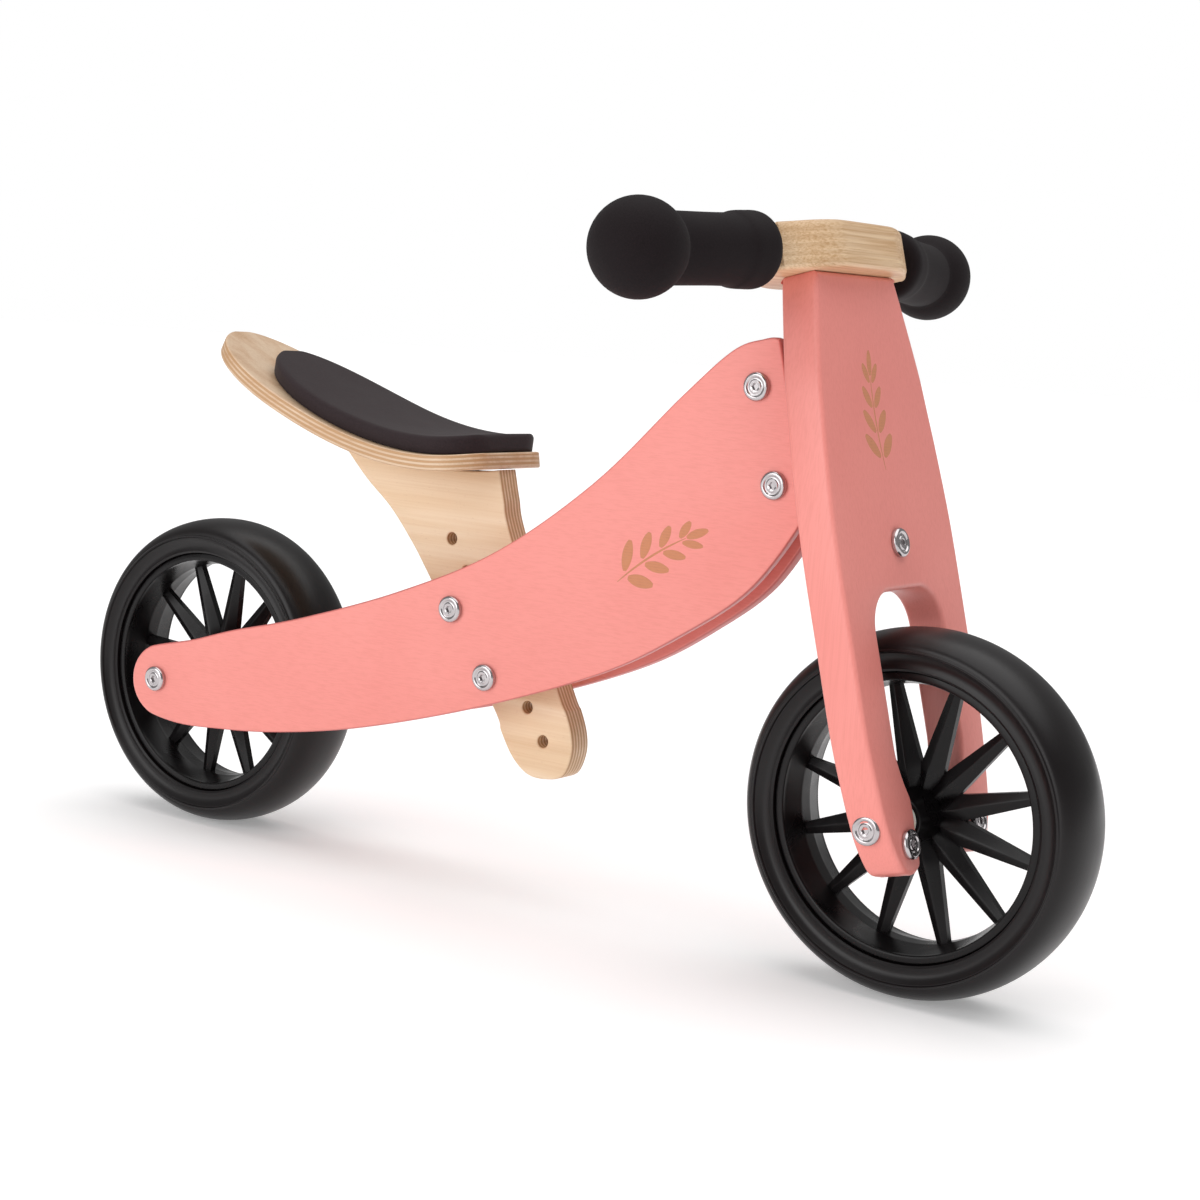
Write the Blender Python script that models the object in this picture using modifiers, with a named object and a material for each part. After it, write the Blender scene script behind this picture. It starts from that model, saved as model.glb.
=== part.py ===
"""Child's wooden balance bike: a bolted plywood assembly of separate, named pieces.

Units are metres, +Z is up and +X is the way it rolls.  The origin is on the ground,
midway between the two axles.  The two side panels stand in a V seen from above: wide
at the rear wheel, close together at the head.  The fork board and the handlebar turn
on a steel pin that leans back by the rake.
"""
import math

import bmesh
import bpy
import numpy as np
from mathutils import Matrix, Vector

# ---- driving dimensions -------------------------------------------------------------
gap = 0.0003                    # air left between two pieces that touch

wheel_radius = 0.100
wheelbase = 0.512
tyre_half_width = 0.025
tyre_depth = 0.0217             # tread to the rim
tyre_crown = 0.0105             # how far the round tread stands out of the shoulders
tyre_bead_set_in = 0.0035       # side of the tyre in to its bead, at the rim
tyre_wall_set_in = 0.0025       # and in to the top of that bead
tyre_bead_height = 0.0067
rim_set_back = 0.0045           # side of the tyre to the side of the rim
rim_lip = 0.0048                # tyre to the rim's opening, seen from the side
rim_wall = 0.0083               # tyre to the inside of the rim at the spokes
hub_radius = 0.0125
hub_half_length = 0.0252
spoke_count = 12
spoke_thickness = 0.007
spoke_valley_radius = 0.026     # where two neighbouring spokes part
spoke_tip_half_width = 0.0032
spoke_overlap = 0.003           # how far the spokes run into the rim's barrel
front_spoke_phase = math.radians(17.3)
rear_spoke_phase = math.radians(22.0)

panel_thickness = 0.008
panel_rear_half_width = 0.0626  # outer face to the middle of the bike, at the rear axle
panel_head_half_width = 0.01643  # the same at the head's screws
panel_tail_radius = 0.0235
panel_tail_ahead = 0.004        # centre of the round tail, ahead of the axle
panel_drawn_head = (0.4104, 0.1924)     # middle of the head's screws in the drawn outline,
                                        # along the panel and up from the rear axle
panel_nose_start = 0.355        # from here forward the outline keeps its shape

rake = math.radians(15.5)
steer_offset = 0.023            # from the steering pin forward to the front axle
fork_thickness = 0.022
fork_forward = steer_offset + 0.001     # from the steering pin to the board's middle
fork_bottom = -0.0275           # from the axle, along the board
fork_arch_clearance = 0.0195    # between the tyre and the arch over it
fork_arch_radius = 0.021
fork_side_clearance = 0.0135    # between the tyre and each leg
fork_foot_clearance = 0.0043    # between the hub and each thick foot
fork_foot_half_width = 0.0615   # outside the feet, at the axle
foot_bolt_place = (0.0405, -0.0115)     # sideways, and up the board from the axle

head_lift = 0.0365              # from the arch up to the head tube's lower end
head_tube_length = 0.106
head_tube_radius = 0.0085
tang_set_in = (0.016, 0.008)    # tube's ends to the tang's, below and above
tang_back = 0.039               # from the pin back to the end of the tang
head_bolt_back = 0.026
head_bolt_lifts = (0.030, 0.0845)       # above the tube's lower end
fork_over_head = 0.028          # tube's upper end to the top of the fork board
pin_radius = 0.004

handlebar_height = 0.025
handlebar_front = fork_forward + 0.023  # from the pin to the front of the wooden board
handlebar_back = 0.0105         # and to its rear edge
handlebar_half_length = 0.068   # to where the board ends and the round arms start
arm_forward = 0.0178            # middle of each arm where it starts, ahead of the pin
arm_radius = 0.011
arm_length = 0.084
arm_shoulder = 0.0015           # how far the board's ends stand out round the arms
grip_length = 0.1156
grip_sweep = math.radians(10.6)  # each grip points back as well as out
grip_ball_radius = 0.0253
grip_radius = 0.0184
grip_flare_radius = 0.0200

seat_front = 0.0335             # seat: from the top hole of the post, forward and up
seat_tail = -0.190
seat_half_width = 0.0467
seat_tail_length = 0.080        # length of the rounded tail
seat_corner = 0.026
seat_thickness = 0.0095
seat_front_height = 0.0555
seat_slope = -0.1990            # how the top drops going back from the front edge
seat_bend = 3.015               # how it then rises again
seat_flatten = -4.366           # and eases towards the tail
pad_tail = -0.151
pad_inset = 0.0030               # ledge of bare board round the pad
pad_front_inset = 0.0010
pad_thickness = 0.0105

post_set_back = 0.001           # seat's front edge to the post's
post_rear = -0.106              # where the post stops under the seat
post_thickness = 0.017
post_hole_top = (0.190, 0.110)  # first hole of the row, from the rear axle
post_hole_tilt = math.radians(34.6)
post_hole_spacing = 0.0227
post_hole_count = 7
post_bolt_holes = (2, 4)
seat_screw_places = (0.008, -0.062)     # along the seat, under the pad
seat_screw_radius = 0.0020
seat_screw_head_radius = 0.0042
seat_screw_length = 0.032
clamp_length = 0.066
clamp_width = 0.028
lug_height = 0.018
lug_half_width = 0.010
nut_radius = 0.0070
nut_height = 0.0067
handlebar_screw_out = 0.024     # from the middle of the bike
handlebar_screw_length = 0.063

bolt_shank_radius = 0.0025
sleeve_radius = 0.0034
sleeve_bore_radius = bolt_shank_radius + gap
bolt_hole_radius = sleeve_radius + gap
bolt_head_radius = 0.0080
bolt_head_height = 0.0030
bolt_proud = 0.0018             # how far a head stands out of the wood
socket_radius = 0.0026
socket_depth = 0.0018
bush_radius = 0.0080
bush_bore_radius = sleeve_radius + gap
bush_length = 0.010
bush_flange = 0.0015
bush_flange_radius = 0.0105
spacer_set_in = 0.0015          # edge of a bush's flange in to the spacer's
edge_round = 0.0015             # of the panels and the lug

overcut = 0.030                 # how far a cutter runs on past what it cuts
wheel_steps = 40                # facets round a wheel
small_steps = 12                # facets round a bolt

# ---- derived places -----------------------------------------------------------------
rear_axle = Vector((-wheelbase / 2, 0.0, wheel_radius))
front_axle = Vector((wheelbase / 2, 0.0, wheel_radius))
board_up = Vector((-math.sin(rake), 0.0, math.cos(rake)))
board_out = Vector((math.cos(rake), 0.0, math.sin(rake)))
steering_foot = front_axle - steer_offset * board_out

tyre_inner_radius = wheel_radius - tyre_depth
rim_half_width = tyre_half_width - rim_set_back
rim_lip_radius = tyre_inner_radius - rim_lip
rim_barrel_radius = tyre_inner_radius - rim_wall
fork_slot_half_width = tyre_half_width + fork_side_clearance
fork_foot_half_gap = hub_half_length + fork_foot_clearance

fork_arch_top = wheel_radius + fork_arch_clearance
head_low = fork_arch_top + head_lift
head_high = head_low + head_tube_length
tang_low = head_low + tang_set_in[0]
tang_high = head_high - tang_set_in[1]
fork_top = head_high + fork_over_head
handlebar_middle = fork_top + gap + handlebar_height / 2

head_bolts = [steering_foot + (head_low + lift) * board_up - head_bolt_back * board_out
              for lift in head_bolt_lifts]
head_middle = (head_bolts[0] + head_bolts[1]) / 2 - rear_axle
panel_toe = math.atan((panel_rear_half_width - panel_head_half_width) / head_middle.x)
head_moved = (head_middle.x / math.cos(panel_toe) - panel_drawn_head[0],
              head_middle.z - panel_drawn_head[1])


def with_head(along, up):
    """Move a drawn point with the head: not at all at the axle, all the way at the nose."""
    share = min(along / panel_nose_start, 1.0)
    return (along + share * head_moved[0], up + share * head_moved[1])


seat_along, seat_up = with_head(*post_hole_top)
seat_place = rear_axle + Vector((seat_along, 0.0, seat_up))

model = bpy.data.collections.new("balance_bike")
cutters = bpy.data.collections.new("cutters")
finishes = {}


def clear_scene():
    for thing in list(bpy.data.objects):
        bpy.data.objects.remove(thing, do_unlink=True)
    for collection in (model, cutters):
        bpy.context.scene.collection.children.link(collection)


# ---- materials ----------------------------------------------------------------------
def finish(name, colour, roughness, metallic=0.0):
    material = bpy.data.materials.new(name)
    material.use_nodes = True
    shader = material.node_tree.nodes["Principled BSDF"]
    shader.inputs["Base Color"].default_value = (*colour, 1.0)
    shader.inputs["Roughness"].default_value = roughness
    shader.inputs["Metallic"].default_value = metallic
    material.diffuse_color = (*colour, 1.0)
    finishes[name] = material


def mix_finishes():
    finish("coral_lacquer", (0.88, 0.31, 0.27), 0.45)
    finish("birch_plywood", (0.78, 0.56, 0.36), 0.55)
    finish("beech", (0.62, 0.42, 0.26), 0.60)
    finish("eva_foam", (0.022, 0.014, 0.017), 0.90)
    finish("black_nylon", (0.012, 0.011, 0.012), 0.38)
    finish("nickel_steel", (0.66, 0.63, 0.61), 0.28, 1.0)
    finish("cast_aluminium", (0.50, 0.50, 0.51), 0.42, 1.0)
    finish("acetal", (0.75, 0.74, 0.70), 0.50)


# ---- building blocks ----------------------------------------------------------------
def add_empty(name, place, turn=(0.0, 0.0, 0.0), parent=None):
    frame = bpy.data.objects.new(name, None)
    frame.location = place
    frame.rotation_euler = turn
    frame.parent = parent
    model.objects.link(frame)
    return frame


def add_object(name, mesh, look=None, place=(0, 0, 0), turn=(0, 0, 0), parent=None):
    """A piece of the bike when it has a look, and a cutter when it has none."""
    thing = bpy.data.objects.new(name, mesh)
    thing.location = place
    thing.rotation_euler = turn
    thing.parent = parent
    if look is None:
        cutters.objects.link(thing)
        thing.hide_render = True
        thing.display_type = "WIRE"
    else:
        model.objects.link(thing)
        mesh.materials.append(finishes[look])
    return thing


def mesh_from(builder):
    mesh = bpy.data.meshes.new("shape")
    shape = bmesh.new()
    builder(shape)
    shape.to_mesh(mesh)
    shape.free()
    return mesh


def box_mesh(low, high):
    def build(shape):
        middle = (Vector(low) + Vector(high)) / 2
        size = Vector(high) - Vector(low)
        place = Matrix.Translation(middle) @ Matrix.Diagonal((*size, 1.0))
        bmesh.ops.create_cube(shape, size=1.0, matrix=place)
    return mesh_from(build)


def rod_mesh(radius, low, high, steps=small_steps):
    """A solid round rod along Z from low to high."""
    def build(shape):
        place = Matrix.Translation((0, 0, (low + high) / 2))
        bmesh.ops.create_cone(shape, cap_ends=True, segments=steps, radius1=radius,
                              radius2=radius, depth=high - low, matrix=place)
    return mesh_from(build)


def add_turned(name, profile, look, place=(0, 0, 0), turn=(0, 0, 0), parent=None,
               steps=small_steps, ring=False):
    """Turn a profile of (radius, height) points about Z; it runs down its outer side."""
    mesh = bpy.data.meshes.new(name)
    count = len(profile)
    edges = [(i, i + 1) for i in range(count - 1)]
    if ring:
        edges.append((count - 1, 0))
    mesh.from_pydata([(radius, 0.0, height) for radius, height in profile], edges, [])
    thing = add_object(name, mesh, look, place, turn, parent)
    screw = thing.modifiers.new("turn", "SCREW")
    screw.steps = steps
    screw.render_steps = steps
    screw.use_merge_vertices = True
    screw.merge_threshold = 0.00001
    screw.use_smooth_shade = True
    return thing


def smooth_path(points, steps, closed=False):
    """Catmull-Rom curve: between two points it leaves each one parallel to the line
    that joins that point's own neighbours."""
    given = np.array(points, dtype=float)
    if closed:
        before, after = np.roll(given, 1, 0), np.roll(given, -1, 0)
        later = np.roll(given, -2, 0)
    else:
        longer = np.vstack((2 * given[0] - given[1], given, 2 * given[-1] - given[-2]))
        before, given, after, later = (longer[i:len(longer) - 3 + i] for i in range(4))
    t = (np.arange(steps) / steps)[None, :, None]
    p0, p1, p2, p3 = (side[:, None, :] for side in (before, given, after, later))
    curve = 0.5 * (2 * p1 + (p2 - p0) * t + (2 * p0 - 5 * p1 + 4 * p2 - p3) * t ** 2
                   + (3 * p1 - p0 - 3 * p2 + p3) * t ** 3)
    flat = [tuple(point) for point in curve.reshape(-1, 2)]
    return flat if closed else flat + [tuple(points[-1])]


def arc_path(centre, radius, start, end, steps):
    """Points on a circle from the start angle to the end angle, in degrees."""
    angles = np.radians(np.linspace(start, end, steps + 1))
    return [(centre[0] + radius * math.cos(a), centre[1] + radius * math.sin(a))
            for a in angles]


def plate_mesh(outline, thickness):
    """A flat board: the outline in XY, with half the thickness on each side of it."""
    curve = bpy.data.curves.new("outline", "CURVE")
    curve.dimensions = "2D"
    curve.fill_mode = "BOTH"
    curve.extrude = thickness / 2
    spline = curve.splines.new("POLY")
    spline.points.add(len(outline) - 1)
    for point, (x, y) in zip(spline.points, outline):
        point.co = (x, y, 0.0, 1.0)
    spline.use_cyclic_u = True
    guide = bpy.data.objects.new("outline", curve)
    cutters.objects.link(guide)
    graph = bpy.context.evaluated_depsgraph_get()
    mesh = bpy.data.meshes.new_from_object(guide.evaluated_get(graph))
    shape = bmesh.new()
    shape.from_mesh(mesh)
    bmesh.ops.remove_doubles(shape, verts=shape.verts, dist=0.00001)
    bmesh.ops.recalc_face_normals(shape, faces=shape.faces)
    shape.to_mesh(mesh)
    shape.free()
    bpy.data.objects.remove(guide, do_unlink=True)
    bpy.data.curves.remove(curve)
    mesh.materials.clear()
    return mesh


def round_edges(thing, width, segments=1):
    bevel = thing.modifiers.new("round edges", "BEVEL")
    bevel.width = width
    bevel.segments = segments
    bevel.limit_method = "ANGLE"
    bevel.angle_limit = math.radians(50)
    bevel.use_clamp_overlap = True


def combine(thing, tool, operation="DIFFERENCE"):
    step = thing.modifiers.new(tool.name, "BOOLEAN")
    step.operation = operation
    step.object = tool
    step.solver = "EXACT"


def shade_round(thing):
    """Round pieces are shaded smooth, with their edges left sharp."""
    if thing.data.polygons:
        thing.data.shade_smooth()
        thing.data.set_sharp_from_angle(angle=math.radians(35))


# ---- fasteners ----------------------------------------------------------------------
along_y = (math.radians(90), 0.0, 0.0)       # local +Z then points to -Y
against_y = (math.radians(-90), 0.0, 0.0)    # local +Z then points to +Y
along_x = (0.0, math.radians(90), 0.0)       # local +Z then points to +X


def head_profile():
    """Low domed head with a round socket, its seat at height 0."""
    inner = socket_radius
    return [(0.0, bolt_head_height - socket_depth), (inner, bolt_head_height - socket_depth),
            (inner, bolt_head_height), (0.6 * bolt_head_radius, bolt_head_height),
            (bolt_head_radius, 0.4 * bolt_head_height), (bolt_head_radius, 0.0)]


def add_bolt(name, length, place, turn, parent=None):
    """Headed screw whose head seats at the given place and whose shank runs to -Z."""
    shank = [(bolt_shank_radius, 0.0), (bolt_shank_radius, -length), (0.0, -length)]
    return add_turned(name, head_profile() + shank, "nickel_steel", place, turn, parent)


def add_sleeve_nut(name, length, place, turn, parent=None):
    """Headed sleeve that takes the screw's shank from its open end."""
    depth = length - bolt_head_height
    sleeve = [(sleeve_radius, 0.0), (sleeve_radius, -length), (sleeve_bore_radius, -length),
              (sleeve_bore_radius, -length + depth), (0.0, -length + depth)]
    return add_turned(name, head_profile() + sleeve, "nickel_steel", place, turn, parent)


def add_cross_bolt(stem, seat, place, parent=None):
    """Screw from the right and sleeve nut from the left; their heads sit at -seat, +seat."""
    x, y, z = place
    bolt_length = 2 * seat - 2 * bolt_head_height
    nut_length = 2 * seat - bolt_head_height
    add_bolt(stem + "_bolt", bolt_length, (x, y - seat, z), along_y, parent)
    add_sleeve_nut(stem + "_sleeve_nut", nut_length, (x, y + seat, z), against_y, parent)


# ---- wheels -------------------------------------------------------------------------
def tyre_profile():
    """Round crown, a crease at the shoulder and a sidewall that pulls in to the rim."""
    shoulder = wheel_radius - tyre_crown
    side = tyre_half_width
    crown = []
    for angle in np.linspace(90, 0, 5):
        a = math.radians(angle)
        crown.append((shoulder + tyre_crown * math.cos(a), side * math.sin(a)))
    upper = [(tyre_inner_radius, side - tyre_bead_set_in),
             (tyre_inner_radius + tyre_bead_height, side - tyre_wall_set_in)]
    upper += crown
    lower = [(radius, -height) for radius, height in reversed(upper[:-1])]
    return upper + lower


def rim_profile():
    """Barrel that narrows towards the spokes, with a lip at each side."""
    outer = tyre_inner_radius - gap
    throat = spoke_thickness / 2 + 0.002
    upper = [(rim_lip_radius, rim_half_width - 0.002), (rim_lip_radius + 0.002, rim_half_width),
             (outer, rim_half_width)]
    lower = [(radius, -height) for radius, height in reversed(upper)]
    barrel = [(rim_barrel_radius, -throat), (rim_barrel_radius, throat)]
    return upper + lower + barrel


def star_outline(phase):
    """Twelve tapering spokes as one star: a valley between each two, and a blunt tip."""
    reach = rim_barrel_radius + spoke_overlap
    outline = []
    for index in range(spoke_count):
        middle = phase + index * 2 * math.pi / spoke_count
        valley = middle - math.pi / spoke_count
        outline.append((spoke_valley_radius * math.cos(valley),
                        spoke_valley_radius * math.sin(valley)))
        half = spoke_tip_half_width / reach
        for angle in (middle - half, middle + half):
            outline.append((reach * math.cos(angle), reach * math.sin(angle)))
    return outline


def add_wheel(stem, axle_frame, phase):
    """Foam tyre on a one-piece nylon rim, with a flanged bush in each end of the hub."""
    add_turned(stem + "_tyre", tyre_profile(), "eva_foam", turn=along_y, parent=axle_frame,
               steps=wheel_steps, ring=True)
    rim = add_turned(stem + "_rim", rim_profile(), "black_nylon", turn=along_y,
                     parent=axle_frame, steps=wheel_steps, ring=True)
    star = add_object(stem + "_spokes", plate_mesh(star_outline(phase), spoke_thickness),
                      turn=along_y, parent=axle_frame)
    hub = add_object(stem + "_hub", rod_mesh(hub_radius, -hub_half_length, hub_half_length, 24),
                     turn=along_y, parent=axle_frame)
    bore = add_object(stem + "_bore", rod_mesh(bush_radius + gap, -tyre_half_width - overcut,
                                            tyre_half_width + overcut, 24),
                      turn=along_y, parent=axle_frame)
    combine(rim, star, "UNION")
    combine(rim, hub, "UNION")
    combine(rim, bore)
    for side, turn in (("right", along_y), ("left", against_y)):
        end = hub_half_length + gap
        bush = [(bush_bore_radius, end + bush_flange), (bush_flange_radius, end + bush_flange),
                (bush_flange_radius, end), (bush_radius, end),
                (bush_radius, end - bush_length), (bush_bore_radius, end - bush_length)]
        add_turned(stem + "_bush_" + side, bush, "acetal", turn=turn, parent=axle_frame,
                   ring=True)


def add_spacer(name, low, high, side_turn, parent):
    """Plain steel tube round the axle, from low to high along it."""
    outer = bush_flange_radius - spacer_set_in
    tube = [(bush_bore_radius, high), (outer, high), (outer, low), (bush_bore_radius, low)]
    return add_turned(name, tube, "nickel_steel", turn=side_turn, parent=parent, ring=True)


# ---- side panels --------------------------------------------------------------------
def panel_outline():
    """Measured along the panel and up from the rear axle."""
    tail_centre = (panel_tail_ahead, -0.001)
    tail = arc_path(tail_centre, panel_tail_radius, 258, 100, 7)
    top = [(0.0265, 0.0287), (0.058, 0.039), (0.108, 0.053), (0.178, 0.078), (0.2445, 0.110),
           (0.306, 0.1565), (0.357, 0.2095), (0.386, 0.237), (0.404, 0.2445)]
    nose = [(0.4125, 0.2455), (0.4150, 0.241), (0.4215, 0.216), (0.4345, 0.170),
            (0.4365, 0.159)]
    bottom = [(0.4330, 0.144), (0.4068, 0.1065), (0.3685, 0.077), (0.319, 0.048),
              (0.2405, 0.017), (0.158, -0.008), (0.0925, -0.021), (0.0425, -0.0258),
              (0.0185, -0.0265)]
    outline = [with_head(*point) for point in tail + top + nose + bottom]
    return smooth_path(outline, 2, closed=True)


def panel_outer_half_width(x):
    """Middle of the bike to a panel's outer face, at a place along X."""
    return panel_rear_half_width - math.tan(panel_toe) * (x - rear_axle.x)


def panel_frame_place(side, depth):
    """A point above the rear axle, the given depth in from a panel's outer face."""
    half_width = panel_rear_half_width - depth / math.cos(panel_toe)
    return (rear_axle.x, side * half_width, rear_axle.z)


def bolt_seat(x):
    """Where a cross bolt's head sits, so that it stands proud of the toed-in panel."""
    lean = math.tan(panel_toe) * bolt_head_radius
    return panel_outer_half_width(x) + lean + bolt_proud - bolt_head_height


def cross_bolt_places():
    """World X and Z of every screw that crosses both panels."""
    places = {"rear_axle": (rear_axle.x, rear_axle.z)}
    for name, point in zip(("head_lower", "head_upper"), head_bolts):
        places[name] = (point.x, point.z)
    for name, hole in zip(("seat_upper", "seat_lower"), post_bolt_holes):
        places[name] = post_hole(hole)
    return places


def post_hole(index):
    """Place of one hole of the seat post's row, the first at its top."""
    step = index * post_hole_spacing
    return (seat_place.x + step * math.sin(post_hole_tilt),
            seat_place.z - step * math.cos(post_hole_tilt))


def add_panels(bolt_places):
    outline = panel_outline()
    for word, side in (("right", -1), ("left", 1)):
        panel = add_object("panel_" + word, plate_mesh(outline, panel_thickness),
                           "coral_lacquer", panel_frame_place(side, panel_thickness / 2),
                           (math.radians(90), 0.0, -side * panel_toe))
        round_edges(panel, edge_round)
        for name, (x, z) in bolt_places.items():
            combine(panel, bolt_hole(name, x, z))
            combine(panel, head_pocket(name, word, side, x, z))


def bolt_hole(name, x, z):
    """Cutter for one screw's hole; each is made once and shared by what it crosses."""
    key = name + "_hole"
    if key in bpy.data.objects:
        return bpy.data.objects[key]
    through = panel_rear_half_width + overcut
    return add_object(key, rod_mesh(bolt_hole_radius, -through, through),
                      place=(x, 0, z), turn=along_y)


def head_pocket(name, word, side, x, z):
    """Flat seat for a head, square to the screw although the panel is toed in."""
    depth = bolt_seat(x) - gap
    turn = along_y if side < 0 else against_y
    return add_object(name + "_pocket_" + word,
                      rod_mesh(bolt_head_radius + gap, depth, depth + overcut),
                      place=(x, 0, z), turn=turn)


def add_panel_clearance():
    """Slabs that hold the panels' place, and trim whatever is fitted between them."""
    slabs = []
    for word, side in (("right", -1), ("left", 1)):
        inner, outer = side * (panel_thickness + gap), -side * panel_rear_half_width
        mesh = box_mesh((-wheelbase, -wheelbase, min(inner, outer)),
                        (2 * wheelbase, 2 * wheelbase, max(inner, outer)))
        slabs.append(add_object("panel_space_" + word, mesh, None,
                                panel_frame_place(side, 0.0),
                                (math.radians(90), 0.0, -side * panel_toe)))
    return slabs


# ---- seat ---------------------------------------------------------------------------
def seat_height(x):
    """Top of the seat board, above the post's first hole: a cubic in the distance back
    from the front edge."""
    back = seat_front - x
    return (seat_front_height + seat_slope * back + seat_bend * back ** 2
            + seat_flatten * back ** 3)


def seat_width(x, tail, front, half_width, corner):
    """Half the width: an elliptic tail, then straight, then rounded front corners."""
    width = half_width
    from_tail = x - tail
    if from_tail < seat_tail_length:
        short = 1 - from_tail / seat_tail_length
        width *= math.sqrt(max(0.0, 1 - short ** 2.3))
    to_front = front - x
    if to_front < corner:
        width -= corner - math.sqrt(max(0.0, corner ** 2 - (corner - to_front) ** 2))
    return width


def add_seat_layer(name, look, tail, front, inset, thickness, lift, edge):
    """A grid bent to the seat's curve and plan, then thickened upwards or downwards."""
    half_width = seat_half_width - inset
    corner = seat_corner
    along, across = 18, 6
    blunt_tail = tail + 0.0012

    def build(shape):
        bmesh.ops.create_grid(shape, x_segments=along, y_segments=across, size=1.0)
        for vertex in shape.verts:
            u = (vertex.co.x + 1) / 2
            eased = u - 0.12 * math.sin(2 * math.pi * u)
            x = blunt_tail + (front - blunt_tail) * eased
            y = vertex.co.y * seat_width(x, tail, front, half_width, corner)
            vertex.co = (x, y, seat_height(x) + lift)
    mesh = mesh_from(build)
    layer = add_object(name, mesh, look, seat_place)
    solid = layer.modifiers.new("thickness", "SOLIDIFY")
    solid.thickness = abs(thickness)
    solid.offset = 1.0 if thickness > 0 else -1.0
    round_edges(layer, edge, 1)
    return layer


def post_outline():
    """Side view of the seat post: it fans out to the rear under the seat board."""
    below = seat_thickness / math.cos(math.radians(20)) + gap
    front = seat_front - post_set_back
    top = [(x, seat_height(x) - below) for x in np.linspace(front, post_rear, 7)]
    rear = smooth_path([top[-1], (-0.073, 0.032), (-0.050, 0.014), (-0.031, -0.006),
                        (-0.016, -0.025), (0.038, -0.096), (0.046, -0.111),
                        (0.0555, -0.125), (0.067, -0.1335), (0.080, -0.1345),
                        (0.093, -0.1305), (0.0985, -0.118), (0.098, -0.106),
                        (0.093, -0.093), (0.085, -0.079), (0.0445, 0.005),
                        (0.037, 0.028), top[0]], 2)
    return top[:-1] + rear[:-1]


def add_seat_screws(board, post):
    """Countersunk screws, square to the curved board and sunk just below its top."""
    for word, x in zip(("front", "rear"), seat_screw_places):
        near = 0.001
        slope = (seat_height(x + near) - seat_height(x - near)) / (2 * near)
        turn = (0.0, -math.atan(slope), 0.0)
        place = seat_place + Vector((x, 0.0, seat_height(x)))
        sunk, neck = -0.0006, -0.0035
        wide, thin = seat_screw_head_radius, seat_screw_radius
        cut = [(0.0, overcut), (wide + gap, overcut), (wide + gap, sunk), (thin + gap, neck),
               (thin + gap, -seat_screw_length - gap), (0.0, -seat_screw_length - gap)]
        hole = add_turned("seat_screw_hole_" + word, cut, None, place, turn)
        combine(board, hole)
        combine(post, hole)
        body = [(0.0, sunk), (wide, sunk), (thin, neck - gap), (thin, -seat_screw_length),
                (0.0, -seat_screw_length)]
        add_turned("seat_screw_" + word, body, "nickel_steel", place, turn)


def add_seat(slabs):
    board = add_seat_layer("seat_board", "birch_plywood", seat_tail, seat_front, 0.0,
                           -seat_thickness, 0.0, 0.0012)
    add_seat_layer("seat_pad", "eva_foam", pad_tail, seat_front - pad_front_inset, pad_inset,
                   pad_thickness, gap + 0.0001, 0.0020)
    post = add_object("seat_post", plate_mesh(post_outline(), post_thickness),
                      "birch_plywood", seat_place, along_y)
    round_edges(post, 0.0010)
    for index in range(post_hole_count):
        x, z = post_hole(index)
        hole = add_object("post_hole_%d" % index, rod_mesh(bolt_hole_radius, -overcut, overcut),
                          place=(x, 0, z), turn=along_y)
        combine(post, hole)
    add_seat_screws(board, post)
    middle = [(a + b) / 2 for a, b in zip(post_hole(post_bolt_holes[0]),
                                          post_hole(post_bolt_holes[1]))]
    for word, side in (("right", -1), ("left", 1)):
        sides = sorted((side * (post_thickness / 2 + gap), side * panel_rear_half_width))
        low = (-clamp_width / 2, sides[0], -clamp_length / 2)
        high = (clamp_width / 2, sides[1], clamp_length / 2)
        block = add_object("seat_clamp_" + word, box_mesh(low, high), "beech",
                           (middle[0], 0.0, middle[1]), (0.0, -post_hole_tilt, 0.0))
        combine(block, slabs[0 if side < 0 else 1])
        for name in ("seat_upper", "seat_lower"):
            combine(block, bpy.data.objects[name + "_hole"])


# ---- head ---------------------------------------------------------------------------
def add_head(slabs, steering):
    """Cast bracket between the panels: a tube for the pin and a tang for two bolts."""
    wide = panel_rear_half_width
    tang = box_mesh((-tang_back, -wide, tang_low), (-0.001, wide, tang_high))
    bracket = add_object("head_bracket", tang, "cast_aluminium", parent=steering)
    for slab in slabs:
        combine(bracket, slab)
    tube = add_object("head_tube", rod_mesh(head_tube_radius, head_low, head_high, 24),
                      parent=steering)
    combine(bracket, tube, "UNION")
    bore = add_object("head_bore", rod_mesh(pin_radius + 0.0019, head_low - overcut,
                                                head_high + overcut, 24),
                      parent=steering)
    combine(bracket, bore)
    for name in ("head_upper", "head_lower"):
        combine(bracket, bpy.data.objects[name + "_hole"])
    outer, inner = pin_radius + 0.0016, pin_radius + 0.0004
    flange, depth, thick = head_tube_radius - 0.0005, 0.009, 0.0018
    for word, seat, out in (("lower", head_low, -1), ("upper", head_high, 1)):
        face = seat + out * gap
        bush = [(inner, face + out * thick), (flange, face + out * thick), (flange, face),
                (outer, face), (outer, face - out * depth), (inner, face - out * depth)]
        if out < 0:
            bush.reverse()
        add_turned("steering_bush_" + word, bush, "acetal", parent=steering, ring=True)
    return thick


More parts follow.
